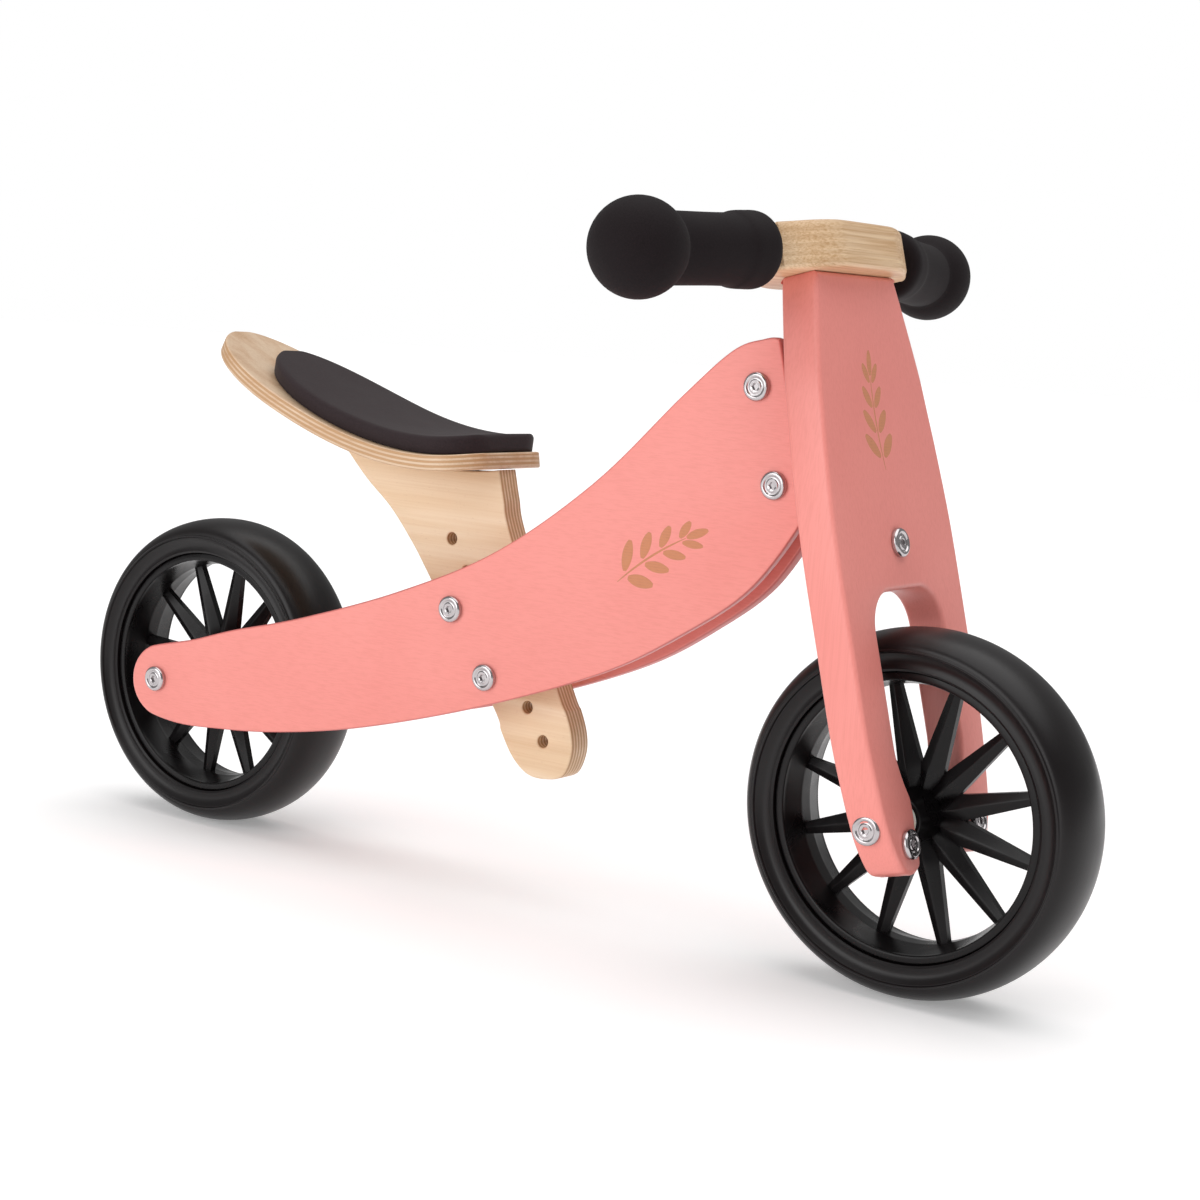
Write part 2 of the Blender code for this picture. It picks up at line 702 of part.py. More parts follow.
# ---- fork and handlebar -------------------------------------------------------------
def fork_outline():
    """Front view as (sideways, up the board): one half, then the same mirrored."""
    inside, slot = fork_foot_half_gap, fork_slot_half_width
    outer = smooth_path([(0.0415, fork_top), (0.0440, fork_top - 0.0025),
                         (0.0510, fork_top - 0.028), (0.0575, fork_top - 0.055),
                         (0.0605, fork_top - 0.075), (0.0635, fork_top - 0.096),
                         (0.0670, fork_top - 0.130), (0.0680, fork_top - 0.160),
                         (0.0680, 0.090), (0.0680, 0.049), (0.0650, 0.020),
                         (fork_foot_half_width, 0.0), (0.0570, -0.013), (0.0500, -0.024),
                         (0.0400, fork_bottom)], 2)
    foot = smooth_path([(inside + 0.0075, fork_bottom), (inside + 0.0017, -0.0245),
                        (inside, -0.018), (inside, -0.004), (inside, 0.010),
                        (0.0345, 0.022), (slot - 0.0005, 0.034), (slot, 0.045)], 2)
    centre = (fork_slot_half_width - fork_arch_radius, fork_arch_top - fork_arch_radius)
    arch = arc_path(centre, fork_arch_radius, 0, 90, 8)
    half = outer + foot + arch
    return half + [(-y, z) for y, z in reversed(half)]


def add_fork(steering, lug_low, lug_high):
    front_face = fork_forward + fork_thickness / 2
    rear_face = fork_forward - fork_thickness / 2
    facing = (math.radians(90), 0.0, math.radians(90))
    board = add_object("fork_board", plate_mesh(fork_outline(), fork_thickness),
                       "coral_lacquer", (fork_forward, 0, 0), facing, steering)
    round_edges(board, 0.0028)
    across = fork_foot_half_width + overcut
    axle_hole = add_object("front_axle_hole", rod_mesh(bolt_hole_radius, -across, across),
                           place=(steer_offset, 0, 0), turn=along_y, parent=steering)
    combine(board, axle_hole)
    axle_seat = fork_foot_half_width + bolt_proud - bolt_head_height
    for word, turn in (("right", along_y), ("left", against_y)):
        pocket = add_object("front_axle_pocket_" + word,
                            rod_mesh(bolt_head_radius + gap, axle_seat - gap,
                                     axle_seat + overcut),
                            place=(steer_offset, 0, 0), turn=turn, parent=steering)
        combine(board, pocket)
    add_cross_bolt("front_axle", axle_seat, (steer_offset, 0, 0), steering)

    middle = (lug_low + lug_high) / 2
    lug = add_object("steering_lug", box_mesh((-lug_half_width - 0.002, -lug_half_width, lug_low),
                                              (rear_face - gap, lug_half_width, lug_high)),
                     "nickel_steel", parent=steering)
    round_edges(lug, edge_round)
    pin_bore = add_object("lug_pin_bore", rod_mesh(pin_radius + gap, lug_low - overcut,
                                                   lug_high + overcut), parent=steering)
    bolt_end = pin_radius + 0.0025
    screw_bore = add_object("lug_screw_bore",
                            rod_mesh(bolt_shank_radius + gap, bolt_end - gap,
                                     front_face + overcut),
                            place=(0, 0, middle), turn=along_x, parent=steering)
    combine(lug, pin_bore)
    combine(lug, screw_bore)
    combine(board, screw_bore)
    seat = front_face + gap
    add_bolt("steering_lug_bolt", seat - bolt_end, (seat, 0, middle), along_x, steering)

    foot_out, foot_height = foot_bolt_place
    for word, side in (("right", -1), ("left", 1)):
        y = side * foot_out
        hole = add_object("foot_bolt_hole_" + word,
                          rod_mesh(bolt_hole_radius, rear_face - overcut,
                                   front_face + overcut),
                          place=(0, y, foot_height), turn=along_x, parent=steering)
        combine(board, hole)
        length = fork_thickness + 2 * gap
        add_bolt("foot_bolt_" + word, length - bolt_head_height,
                 (front_face + gap, y, foot_height), along_x, steering)
        back = (0.0, math.radians(-90), 0.0)
        add_sleeve_nut("foot_bolt_nut_" + word, length - bolt_head_height,
                       (rear_face - gap, y, foot_height), back, steering)
    return board


def handlebar_outline():
    """Plan of the board as (forward, sideways): full in the middle, then it narrows and
    turns back into the two arms."""
    end, thick = handlebar_half_length, arm_radius + arm_shoulder
    lean = math.tan(grip_sweep)
    front = handlebar_front
    shoulders = [(front, 0.0), (front, 0.018), (front - 0.0008, 0.032),
                 (front - 0.0055, end - 0.021), (front - 0.0120, end - 0.009),
                 (arm_forward + thick, end)]
    inner_end = (arm_forward - thick - 0.3 * lean * thick, end - 0.4 * lean * thick)
    waist = [inner_end, (arm_forward - thick - 0.003, end - 0.014),
             (-handlebar_back + 0.0035, 0.036), (-handlebar_back, 0.020),
             (-handlebar_back, 0.0)]
    half = smooth_path(shoulders, 2) + smooth_path(waist, 2)
    return half + [(x, -y) for x, y in reversed(half[1:-1])]


def add_handlebar(steering, board):
    bar = add_object("handlebar", plate_mesh(handlebar_outline(), handlebar_height),
                     "birch_plywood", (0, 0, handlebar_middle), parent=steering)
    round_edges(bar, 0.0025, 2)
    top = handlebar_middle + handlebar_height / 2
    low, high = top - handlebar_screw_length - 2 * gap, top + overcut
    pin_hole = add_object("handlebar_pin_hole", rod_mesh(pin_radius + gap, fork_top, high),
                          parent=steering)
    combine(bar, pin_hole)
    for word, side in (("right", -1), ("left", 1)):
        place = (fork_forward, side * handlebar_screw_out, 0)
        hole = add_object("handlebar_screw_hole_" + word,
                          rod_mesh(bolt_shank_radius + gap, low, high),
                          place=place, parent=steering)
        combine(bar, hole)
        combine(board, hole)
        add_bolt("handlebar_screw_" + word, handlebar_screw_length,
                 (place[0], place[1], top + gap), (0, 0, 0), steering)
        root = (arm_forward, side * handlebar_half_length, handlebar_middle)
        turn = (-side * math.radians(90), 0.0, side * grip_sweep)
        arm = add_object("handlebar_arm_" + word, rod_mesh(arm_radius, -0.02, arm_length, 24),
                         place=root, turn=turn, parent=steering)
        combine(bar, arm, "UNION")
        add_grip("grip_" + word, root, turn, steering)
    return top


def add_grip(name, root, turn, steering):
    """Foam sleeve with a flared inner end and a ball at its outer end."""
    start = 0.0025
    bore = arm_radius + gap
    ball = grip_length - grip_ball_radius
    waist = math.degrees(math.asin(grip_radius / grip_ball_radius))
    knob = [(ball_r, ball + ball_z) for ball_z, ball_r in
            arc_path((0.0, 0.0), grip_ball_radius, 0, 180 - waist, 8)]
    knob[0] = (0.0, grip_length)
    flare = [(grip_radius, start + 0.022), (grip_flare_radius, start + 0.012),
             (grip_flare_radius, start + 0.005), (grip_flare_radius - 0.004, start)]
    hollow = [(bore, start), (bore, arm_length + gap), (0.0, arm_length + gap)]
    add_turned(name, knob + flare + hollow, "eva_foam", root, turn, steering, steps=20)


def add_kingpin(steering, top, lug_low, flange_thickness):
    """Long bolt that the fork and handlebar turn on, with its nut under the lug."""
    seat = top + gap
    end = lug_low - gap - nut_height - 0.003
    profile = [(radius, height + seat) for radius, height in head_profile()]
    profile += [(pin_radius, seat), (pin_radius, end), (0.0, end)]
    add_turned("kingpin", profile, "nickel_steel", parent=steering)
    high, low = lug_low - gap, lug_low - gap - nut_height
    nut = [(pin_radius + gap, high), (nut_radius, high), (nut_radius, low),
           (pin_radius + gap, low)]
    add_turned("kingpin_nut", nut, "nickel_steel", parent=steering, steps=12, ring=True)
    low = head_high + 3 * gap + flange_thickness
    outer, high = head_tube_radius - 0.0013, fork_top
    sleeve = [(pin_radius + gap, high), (outer, high), (outer, low), (pin_radius + gap, low)]
    add_turned("steering_spacer", sleeve, "nickel_steel", parent=steering, ring=True)


# ---- the whole bike -----------------------------------------------------------------
def build_bike():
    clear_scene()
    mix_finishes()
    steering = add_empty("steering_axis", steering_foot, (0.0, -rake, 0.0))
    front_wheel = add_empty("front_wheel_axis", (steer_offset, 0, 0), (0.0, rake, 0.0),
                            steering)
    rear_wheel = add_empty("rear_wheel_axis", rear_axle)

    bolt_places = cross_bolt_places()
    add_panels(bolt_places)
    slabs = add_panel_clearance()
    for name, (x, z) in bolt_places.items():
        add_cross_bolt(name, bolt_seat(x), (x, 0, z))
    add_seat(slabs)

    add_wheel("rear", rear_wheel, rear_spoke_phase)
    add_wheel("front", front_wheel, front_spoke_phase)
    spacer_low = hub_half_length + bush_flange + 3 * gap
    for index, (word, turn) in enumerate((("right", along_y), ("left", against_y))):
        spacer = add_spacer("rear_spacer_" + word, spacer_low, panel_rear_half_width, turn,
                            rear_wheel)
        combine(spacer, slabs[index])
        add_spacer("front_washer_" + word, spacer_low, fork_foot_half_gap - 2 * gap, turn,
                   front_wheel)

    flange_thickness = add_head(slabs, steering)
    lug_high = head_low - 2 * gap - flange_thickness - gap
    lug_low = lug_high - lug_height
    board = add_fork(steering, lug_low, lug_high)
    top = add_handlebar(steering, board)
    add_kingpin(steering, top, lug_low, flange_thickness)
    bpy.context.view_layer.update()
    for thing in model.objects:
        if thing.type == "MESH":
            shade_round(thing)


build_bike()
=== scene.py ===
import math

import bmesh
import bpy
import numpy as np
from mathutils import Matrix, Vector
from mathutils.geometry import tessellate_polygon


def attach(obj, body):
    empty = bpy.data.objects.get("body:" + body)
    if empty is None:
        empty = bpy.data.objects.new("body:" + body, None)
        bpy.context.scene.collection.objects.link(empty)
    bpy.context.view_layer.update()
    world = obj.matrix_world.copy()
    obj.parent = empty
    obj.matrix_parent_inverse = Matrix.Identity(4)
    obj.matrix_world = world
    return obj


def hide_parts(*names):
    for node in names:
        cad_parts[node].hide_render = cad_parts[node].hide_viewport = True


# A child's wooden balance bike. Everything is in metres, +X is the way it rolls and +Z is up.
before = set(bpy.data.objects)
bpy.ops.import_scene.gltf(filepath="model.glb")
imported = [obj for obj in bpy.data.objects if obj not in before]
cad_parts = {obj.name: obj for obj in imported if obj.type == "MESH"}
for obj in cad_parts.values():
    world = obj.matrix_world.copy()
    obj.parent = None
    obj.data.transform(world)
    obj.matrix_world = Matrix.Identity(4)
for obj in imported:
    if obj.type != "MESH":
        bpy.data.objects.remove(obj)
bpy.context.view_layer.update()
print("frame loaded:", len(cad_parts), "nodes")

mm = 0.001
quarter = math.pi / 2
wheelRadius = 0.100
halfWheelbase = 0.256
rake = math.radians(15.5)                 # how far the steering pin leans back
forkOffset = 0.023                        # from the pin's line forward to the front axle
frontAxle = Matrix.Translation((halfWheelbase, 0.0, wheelRadius))
rearAxle = Matrix.Translation((-halfWheelbase, 0.0, wheelRadius))
# The steering's own frame: +Z up the pin, and its origin level with the front axle.
steeringFrame = (frontAxle @ Matrix.Rotation(-rake, 4, "Y")
                 @ Matrix.Translation((-forkOffset, 0.0, 0.0)))


def gridFaces(rows, columns, wrapRows=False, wrapColumns=False):
    # Every cell of a rows x columns grid of points as one four-sided face.
    r = np.arange(rows if wrapRows else rows - 1)
    c = np.arange(columns if wrapColumns else columns - 1)
    r, c = (side.ravel() for side in np.meshgrid(r, c, indexing="ij"))
    nextR, nextC = (r + 1) % rows, (c + 1) % columns
    return np.stack((r * columns + c, nextR * columns + c,
                     nextR * columns + nextC, r * columns + nextC), 1)


def facingOut(points, faces):
    # The volume under each face, summed, is negative when a closed shell is inside out.
    a, b, c, d = (points[faces[:, i]] for i in range(4))
    volume = np.einsum("ij,ij->", a, np.cross(b, c) + np.cross(c, d))
    return faces if volume > 0 else faces[:, ::-1]


def placed(points, matrix):
    # Turns and shifts every point by a 4 x 4 matrix.
    m = np.array(matrix)
    return points @ m[:3, :3].T + m[:3, 3]


def catmullRom(points, steps, closed=False):
    # Through each given point the curve runs parallel to the line joining its neighbours:
    # half of (2b + (c-a)t + (2a-5b+4c-d)t^2 + (3b-a-3c+d)t^3).
    given = np.array(points, float)
    if closed:
        a, b, c, d = np.roll(given, 1, 0), given, np.roll(given, -1, 0), np.roll(given, -2, 0)
    else:
        longer = np.vstack((2 * given[0] - given[1], given, 2 * given[-1] - given[-2]))
        a, b, c, d = longer[:-3], longer[1:-2], longer[2:-1], longer[3:]
    t = (np.arange(steps) / steps)[None, :, None]
    a, b, c, d = (side[:, None] for side in (a, b, c, d))
    curve = 0.5 * (2 * b + (c - a) * t + (2 * a - 5 * b + 4 * c - d) * t ** 2
                   + (3 * b - a - 3 * c + d) * t ** 3)
    curve = curve.reshape(-1, given.shape[1])
    return curve if closed else np.vstack((curve, given[-1]))


def mirrored(half):
    # Half a section in millimetres, and its mirror image below, as one closed loop in metres.
    half = np.array(half, float) * mm
    return np.vstack((half, half[::-1] * (1, -1)))


def softCorners(points, radius, steps):
    # Cuts each corner with a parabola that starts and ends the radius away from it,
    # or at most 45 hundredths of the way to the next corner.
    p = np.array(points, float)
    start, end = (p + side * np.minimum(
        radius / np.linalg.norm(side, axis=1, keepdims=True), 0.45)
        for side in (np.roll(p, 1, 0) - p, np.roll(p, -1, 0) - p))
    t = np.linspace(0, 1, steps + 1)[None, :, None]
    start, middle, end = start[:, None], p[:, None], end[:, None]
    soft = start * (1 - t) ** 2 + 2 * middle * t * (1 - t) + end * t ** 2
    return soft.reshape(-1, 2)


def circle(radius, steps, centre=(0.0, 0.0)):
    # (r cos a, r sin a) about a centre.
    a = np.arange(steps) * 2 * math.pi / steps
    return np.stack((centre[0] + radius * np.cos(a), centre[1] + radius * np.sin(a)), 1)


def turned(profile, steps, ring=False):
    # Each profile point (radius r, height h) goes round: (r cos a, r sin a, h).
    profile = np.array(profile, float)
    a = (np.arange(steps) * 2 * math.pi / steps)[:, None]
    r, h = profile[:, 0][None], profile[:, 1][None]
    points = np.stack((r * np.cos(a), r * np.sin(a), h + 0 * a), -1).reshape(-1, 3)
    faces = gridFaces(steps, len(profile), wrapRows=True, wrapColumns=ring)
    return points, facingOut(points, faces)


def insetOutline(outline, inset):
    # Moves each corner along the mitre of its two edges, so that each edge moves by the inset.
    edge = np.roll(outline, -1, 0) - outline
    edge /= np.linalg.norm(edge, axis=1, keepdims=True)
    out = np.stack((edge[:, 1], -edge[:, 0]), 1)
    before = np.roll(out, 1, 0)
    mitre = (before + out) / (1 + np.sum(before * out, axis=1, keepdims=True))
    return outline - mitre * inset


def board(outlines, thickness, roundness, steps=5):
    # A flat board: the first outline runs anticlockwise, and any holes clockwise. Its edge
    # is a half-round at each face: inset r(1 - cos a), height T/2 - r + r sin a.
    a = np.linspace(0, quarter, steps)
    inset = roundness * (1 - np.cos(a))
    height = thickness / 2 - roundness * (1 - np.sin(a))
    inset = np.concatenate((inset[::-1], inset))
    height = np.concatenate((-height[::-1], height))
    points, walls, lowCap, highCap, count = [], [], [], [], 0
    for outline in outlines:
        rings = [np.column_stack((insetOutline(outline, d), np.full(len(outline), h)))
                 for d, h in zip(inset, height)]
        points.append(np.vstack(rings))
        faces = gridFaces(len(rings), len(outline), wrapColumns=True)[:, ::-1]
        walls.append(faces + count)
        lowCap.append(count + np.arange(len(outline)))
        highCap.append(count + (len(rings) - 1) * len(outline) + np.arange(len(outline)))
        count += len(points[-1])
    points = np.vstack(points)
    caps = []
    for rings, flip in ((highCap, False), (lowCap, True)):
        index = np.concatenate(rings)
        corners = tessellate_polygon([[Vector(points[i]) for i in ring] for ring in rings])
        triangles = index[np.array(corners)]
        a, b, c = (points[triangles[:, i]] for i in range(3))
        up = np.cross(b - a, c - a)[:, 2] > 0
        wrong = up == flip
        triangles[wrong] = triangles[wrong][:, ::-1]
        caps.append(triangles)
    return points, np.vstack(walls), np.vstack(caps)


def endsClosed(rows):
    # Adds a row at each end with every point in the middle of the end row, which closes it.
    first, last = (np.repeat(rows[[i]].mean(1, keepdims=True), rows.shape[1], 1)
                   for i in (0, -1))
    return np.concatenate((first, rows, last))


def joined(shells):
    # Several (points, faces) shells as one: each one's faces are counted on from the last.
    start = np.cumsum([0] + [len(points) for points, faces in shells[:-1]])
    return (np.vstack([points for points, faces in shells]),
            np.vstack([faces + first for (points, faces), first in zip(shells, start)]))


edgeStart = 0.3 * mm      # how far in from a board's face its edge starts to look like one


def makePiece(name, points, faces, body, material, replaced=(), flatFaces=None,
              values=None, sharpAngle=38):
    # Puts the arrays into a mesh, merges poles and seams, and hands the piece to its body.
    # The sharp angle is in degrees; edges that bend more than that are shaded hard.
    mesh = bpy.data.meshes.new(name)
    rows = faces.tolist() + ([] if flatFaces is None else flatFaces.tolist())
    mesh.from_pydata(points.tolist(), [], rows)
    smooth = np.ones(len(rows), bool)
    smooth[len(faces):] = False
    mesh.polygons.foreach_set("use_smooth", smooth)
    for key, numbers in (values or {}).items():
        layer = mesh.attributes.new(key, "FLOAT", "POINT")
        layer.data.foreach_set("value", np.asarray(numbers, np.float32))
    shape = bmesh.new()
    shape.from_mesh(mesh)
    bmesh.ops.remove_doubles(shape, verts=shape.verts, dist=2e-6)
    bmesh.ops.dissolve_degenerate(shape, edges=shape.edges, dist=1e-7)
    shape.to_mesh(mesh)
    shape.free()
    mesh.set_sharp_from_angle(angle=math.radians(sharpAngle))
    mesh.materials.append(material)
    piece = bpy.data.objects.new(name, mesh)
    bpy.context.scene.collection.objects.link(piece)
    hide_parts(*replaced)
    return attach(piece, body)


def linear(hexText):
    # sRGB to linear: ((c + 0.055) / 1.055) ^ 2.4, or c / 12.92 in the darkest tones.
    parts = [int(hexText[i:i + 2], 16) / 255 for i in (1, 3, 5)]
    return (*[c / 12.92 if c <= 0.04045 else ((c + 0.055) / 1.055) ** 2.4 for c in parts], 1.0)


def addNode(tree, kind, inputs=None, output=0, stops=(), **settings):
    # Adds a node with its settings, links or sets each input, and gives back one output.
    # A text is a colour; stops are a ramp's places, each with a grey or a colour.
    node = tree.nodes.new("ShaderNode" + kind)
    for key, value in settings.items():
        setattr(node, key, value)
    for index, (position, tone) in enumerate(stops):
        elements = node.color_ramp.elements
        element = elements[index] if index < len(elements) else elements.new(position)
        element.position = position
        element.color = linear(tone) if isinstance(tone, str) else (tone, tone, tone, 1.0)
    for key, value in (inputs or {}).items():
        if isinstance(value, bpy.types.NodeSocket):
            tree.links.new(value, node.inputs[key])
        else:
            node.inputs[key].default_value = linear(value) if isinstance(value, str) else value
    return node.outputs[output]


def startMaterial(name, **values):
    # A Principled material with its plain values set on the shader's own sockets.
    material = bpy.data.materials.new(name)
    material.use_nodes = True
    tree = material.node_tree
    shader = tree.nodes["Principled BSDF"]
    for key, value in values.items():
        shader.inputs[key.replace("_", " ")].default_value = value
    return material, tree, addNode(tree, "TexCoord", output="Object")


def endMaterial(tree, colour, drift, rough, height, reliefMm, driftSpan=(0.3, 0.7)):
    # Links colour, roughness and bump. The roughness runs between the two values of rough as
    # the drift pattern crosses its span; the relief is from the height pattern's black to white.
    shader = tree.nodes["Principled BSDF"]
    tree.links.new(colour, shader.inputs["Base Color"])
    polish = addNode(tree, "MapRange", {"Value": drift, "From Min": driftSpan[0],
                                        "From Max": driftSpan[1], "To Min": rough[0],
                                        "To Max": rough[1]})
    tree.links.new(polish, shader.inputs["Roughness"])
    bump = addNode(tree, "Bump", {"Height": height, "Distance": reliefMm * mm,
                                  "Strength": 0.6})
    tree.links.new(bump, shader.inputs["Normal"])


# The edge colour is painted shade: a deeper coral laid on the boards' rounded edges in place of
# the shade that falls there.
coralLook = dict(pale="#f1968d", deep="#e8887f", pore="#c86a5c", edge="#cc706b", poreMm=0.9,
                 poreLengthMm=40, poreHeight=0.8, peelMm=2.4, cloudMm=70, reliefMm=0.05,
                 rough=(0.36, 0.46))


def coralLacquerOnPly(name, grainAxis):
    # Pigmented satin lacquer rolled on birch plywood: even coral, with the wood's long pores
    # just showing under it and a faint orange peel. Its deeper coral on the rounded edges is
    # painted shade, standing in for the shade that falls on the boards' edges.
    look = coralLook
    material, tree, place = startMaterial(name, IOR=1.48, Coat_Weight=0.15, Coat_Roughness=0.28)
    along = [1 / (look["poreMm"] * mm)] * 3
    along[grainAxis] = 1 / (look["poreLengthMm"] * mm)
    pores = addNode(tree, "TexNoise", {
        "Vector": addNode(tree, "Mapping", {"Vector": place, "Scale": along}),
        "Scale": 1.0, "Detail": 4.0, "Roughness": 0.6})
    cloud = addNode(tree, "TexNoise", {"Vector": place, "Scale": 1 / (look["cloudMm"] * mm)})
    peel = addNode(tree, "TexNoise", {"Vector": place, "Scale": 1 / (look["peelMm"] * mm),
                                      "Detail": 1.0})
    tone = addNode(tree, "Mix", {0: cloud, 6: look["deep"], 7: look["pale"]}, 2,
                   data_type="RGBA")
    streak = addNode(tree, "ValToRGB", {"Fac": pores}, stops=[(0.34, 0.16), (0.56, 0.0)])
    colour = addNode(tree, "Mix", {0: streak, 6: tone, 7: look["pore"]}, 2, data_type="RGBA")
    # Painted shade: the edge mask lays the deeper edge coral on the rounded edges.
    edge = addNode(tree, "Attribute", output="Fac", attribute_name="edge")
    colour = addNode(tree, "Mix", {0: edge, 6: colour, 7: look["edge"]}, 2, data_type="RGBA")
    height = addNode(tree, "Math", {0: pores, 1: look["poreHeight"], 2: peel},
                     operation="MULTIPLY_ADD")
    endMaterial(tree, colour, cloud, look["rough"], height, look["reliefMm"])
    return material


plyLook = dict(glue="#8f6242", endGrain="#ad7d50", endPale="#c69a6b", fleck="#a9744a",
               poreMm=0.8, poreLengthMm=70, figureMm=11, figureLengthMm=240, fleckMm=0.45,
               fleckLengthMm=3.5, fibreMm=0.5, reliefMm=0.06, rough=(0.52, 0.42))
seatTones = ("#c09973", "#d0ad8b", "#ddc1a3")
postTones = ("#d8b48d", "#e2c29d", "#ebd1b2")
barTones = ("#bf9160", "#d9b286", "#ebcda8")


def lacqueredBirchPly(name, tones, grainAxis, plyMm, plyShare, streaks, depthKey=None,
                      turn=0.0):
    # Birch plywood under clear matt lacquer: pale faces with long soft streaks and short dark
    # flecks, and edges where the plies show long grain and end grain in turn.
    look = plyLook
    material, tree, place = startMaterial(name, IOR=1.50, Coat_Weight=0.12, Coat_Roughness=0.30)
    if turn:
        place = addNode(tree, "Mapping", {"Vector": place, "Rotation": (0.0, turn, 0.0)})
    field = {}
    for word, wide, length, detail in (("pore", "poreMm", "poreLengthMm", 5.0),
                                       ("figure", "figureMm", "figureLengthMm", 3.0),
                                       ("fleck", "fleckMm", "fleckLengthMm", 2.0)):
        scale = [1 / (look[wide] * mm)] * 3
        scale[grainAxis] = 1 / (look[length] * mm)
        field[word] = addNode(tree, "TexNoise", {
            "Vector": addNode(tree, "Mapping", {"Vector": place, "Scale": scale}),
            "Scale": 1.0, "Detail": detail, "Distortion": 0.3})
    deep, base, pale = tones
    face = addNode(tree, "ValToRGB", {"Fac": field["figure"]},
                   stops=[(0.30, deep), (0.46, base), (0.62, pale)])
    streak = addNode(tree, "ValToRGB", {"Fac": field["pore"]}, stops=[(0.32, deep), (0.58, pale)])
    face = addNode(tree, "Mix", {0: streaks, 6: face, 7: streak}, 2, data_type="RGBA")
    speck = addNode(tree, "ValToRGB", {"Fac": field["fleck"]}, stops=[(0.66, 0.0), (0.74, 0.3)])
    face = addNode(tree, "Mix", {0: speck, 6: face, 7: look["fleck"]}, 2, data_type="RGBA")
    if depthKey:
        depth = addNode(tree, "Attribute", output="Fac", attribute_name=depthKey)
        plies = addNode(tree, "Math", {0: depth, 1: plyMm}, operation="DIVIDE")
    else:
        depth = addNode(tree, "SeparateXYZ", {"Vector": place}, "Z" if turn else "Y")
        plies = addNode(tree, "Math", {0: depth, 1: plyMm * mm}, operation="DIVIDE")
    phase = addNode(tree, "Math", {0: plies, 1: 1.0}, operation="PINGPONG")
    fibre = addNode(tree, "TexNoise", {"Vector": place, "Scale": 1 / (look["fibreMm"] * mm)})
    endGrain = addNode(tree, "Mix", {0: fibre, 6: look["endGrain"], 7: look["endPale"]}, 2,
                       data_type="RGBA")
    crossPly = addNode(tree, "ValToRGB", {"Fac": phase}, stops=[(0.44, 0.0), (0.56, 1.0)])
    layers = addNode(tree, "Mix", {0: crossPly, 6: face, 7: endGrain}, 2, data_type="RGBA")
    glueLine = addNode(tree, "ValToRGB", {"Fac": phase},
                       stops=[(0.40, 0.0), (0.50, 0.5), (0.60, 0.0)])
    layers = addNode(tree, "Mix", {0: glueLine, 6: layers, 7: look["glue"]}, 2,
                     data_type="RGBA")
    edge = addNode(tree, "Attribute", output="Fac", attribute_name="edge")
    edge = addNode(tree, "Math", {0: edge, 1: plyShare}, operation="MULTIPLY")
    colour = addNode(tree, "Mix", {0: edge, 6: face, 7: layers}, 2, data_type="RGBA")
    height = addNode(tree, "Math", {0: field["pore"], 1: field["fleck"]}, operation="ADD")
    endMaterial(tree, colour, field["pore"], look["rough"], height, look["reliefMm"])
    return material


def evaFoam(name, dark, pale, cellMm, rough, sheen, gloss, reliefMm, cloudMm=38):
    # Closed-cell EVA foam: deep brownish black and matt, because its tiny open cells trap the
    # light (so little gloss), with a fine dimpled skin.
    material, tree, place = startMaterial(name, IOR=1.49, Specular_IOR_Level=gloss,
                                          Sheen_Weight=sheen, Sheen_Roughness=0.45)
    cells = addNode(tree, "TexVoronoi", {"Vector": place, "Scale": 1 / (cellMm * mm)},
                    feature="SMOOTH_F1")
    cloud = addNode(tree, "TexNoise", {"Vector": place, "Scale": 1 / (cloudMm * mm)})
    skin = addNode(tree, "ValToRGB", {"Fac": cells}, stops=[(0.10, 0.0), (0.75, 1.0)])
    tone = addNode(tree, "Mix", {0: cloud, 6: dark, 7: pale}, 2, data_type="RGBA")
    colour = addNode(tree, "Mix", {0: skin, 6: tone, 7: dark}, 2, data_type="RGBA")
    endMaterial(tree, colour, cloud, rough, cells, reliefMm)
    return material


def speckled(name, patternMm, gritMm, tones, rough, reliefMm, driftSpan=(0.3, 0.7),
             distortion=0.0, **values):
    # One soft pattern drifts the tone and the polish, over a much finer grit of relief.
    material, tree, place = startMaterial(name, **values)
    drift = addNode(tree, "TexNoise", {"Vector": place, "Scale": 1 / (patternMm * mm),
                                       "Distortion": distortion})
    grit = addNode(tree, "TexNoise", {"Vector": place, "Scale": 1 / (gritMm * mm)})
    colour = addNode(tree, "Mix", {0: drift, 6: tones[0], 7: tones[1]}, 2, data_type="RGBA")
    endMaterial(tree, colour, drift, rough, grit, reliefMm, driftSpan)
    return material


etchLook = dict(lineMm=0.8, wobble=0.4, charMm=3, tan=("#b97553", "#cf8f6a"), line="#c98560",
                rough=(0.70, 0.85), reliefMm=0.03)


def laserEtchedPly():
    # Lacquer burnt away to the birch under it: flat tan brown, dull, with fine scan lines,
    # drawn 0.8 mm apart, several times too coarse, so that they show.
    look = etchLook
    material, tree, place = startMaterial("laser-etched birch", IOR=1.50)
    scan = addNode(tree, "TexWave", {"Vector": place, "Distortion": look["wobble"],
                                     "Scale": 1 / (look["lineMm"] * mm * 2 * math.pi)},
                   "Fac", bands_direction="Z")
    char = addNode(tree, "TexNoise", {"Vector": place, "Scale": 1 / (look["charMm"] * mm)})
    tan = addNode(tree, "Mix", {0: char, 6: look["tan"][0], 7: look["tan"][1]}, 2,
                  data_type="RGBA")
    colour = addNode(tree, "Mix", {0: scan, 6: tan, 7: look["line"]}, 2, data_type="RGBA")
    endMaterial(tree, colour, char, look["rough"], scan, look["reliefMm"], (0, 1))
    return material


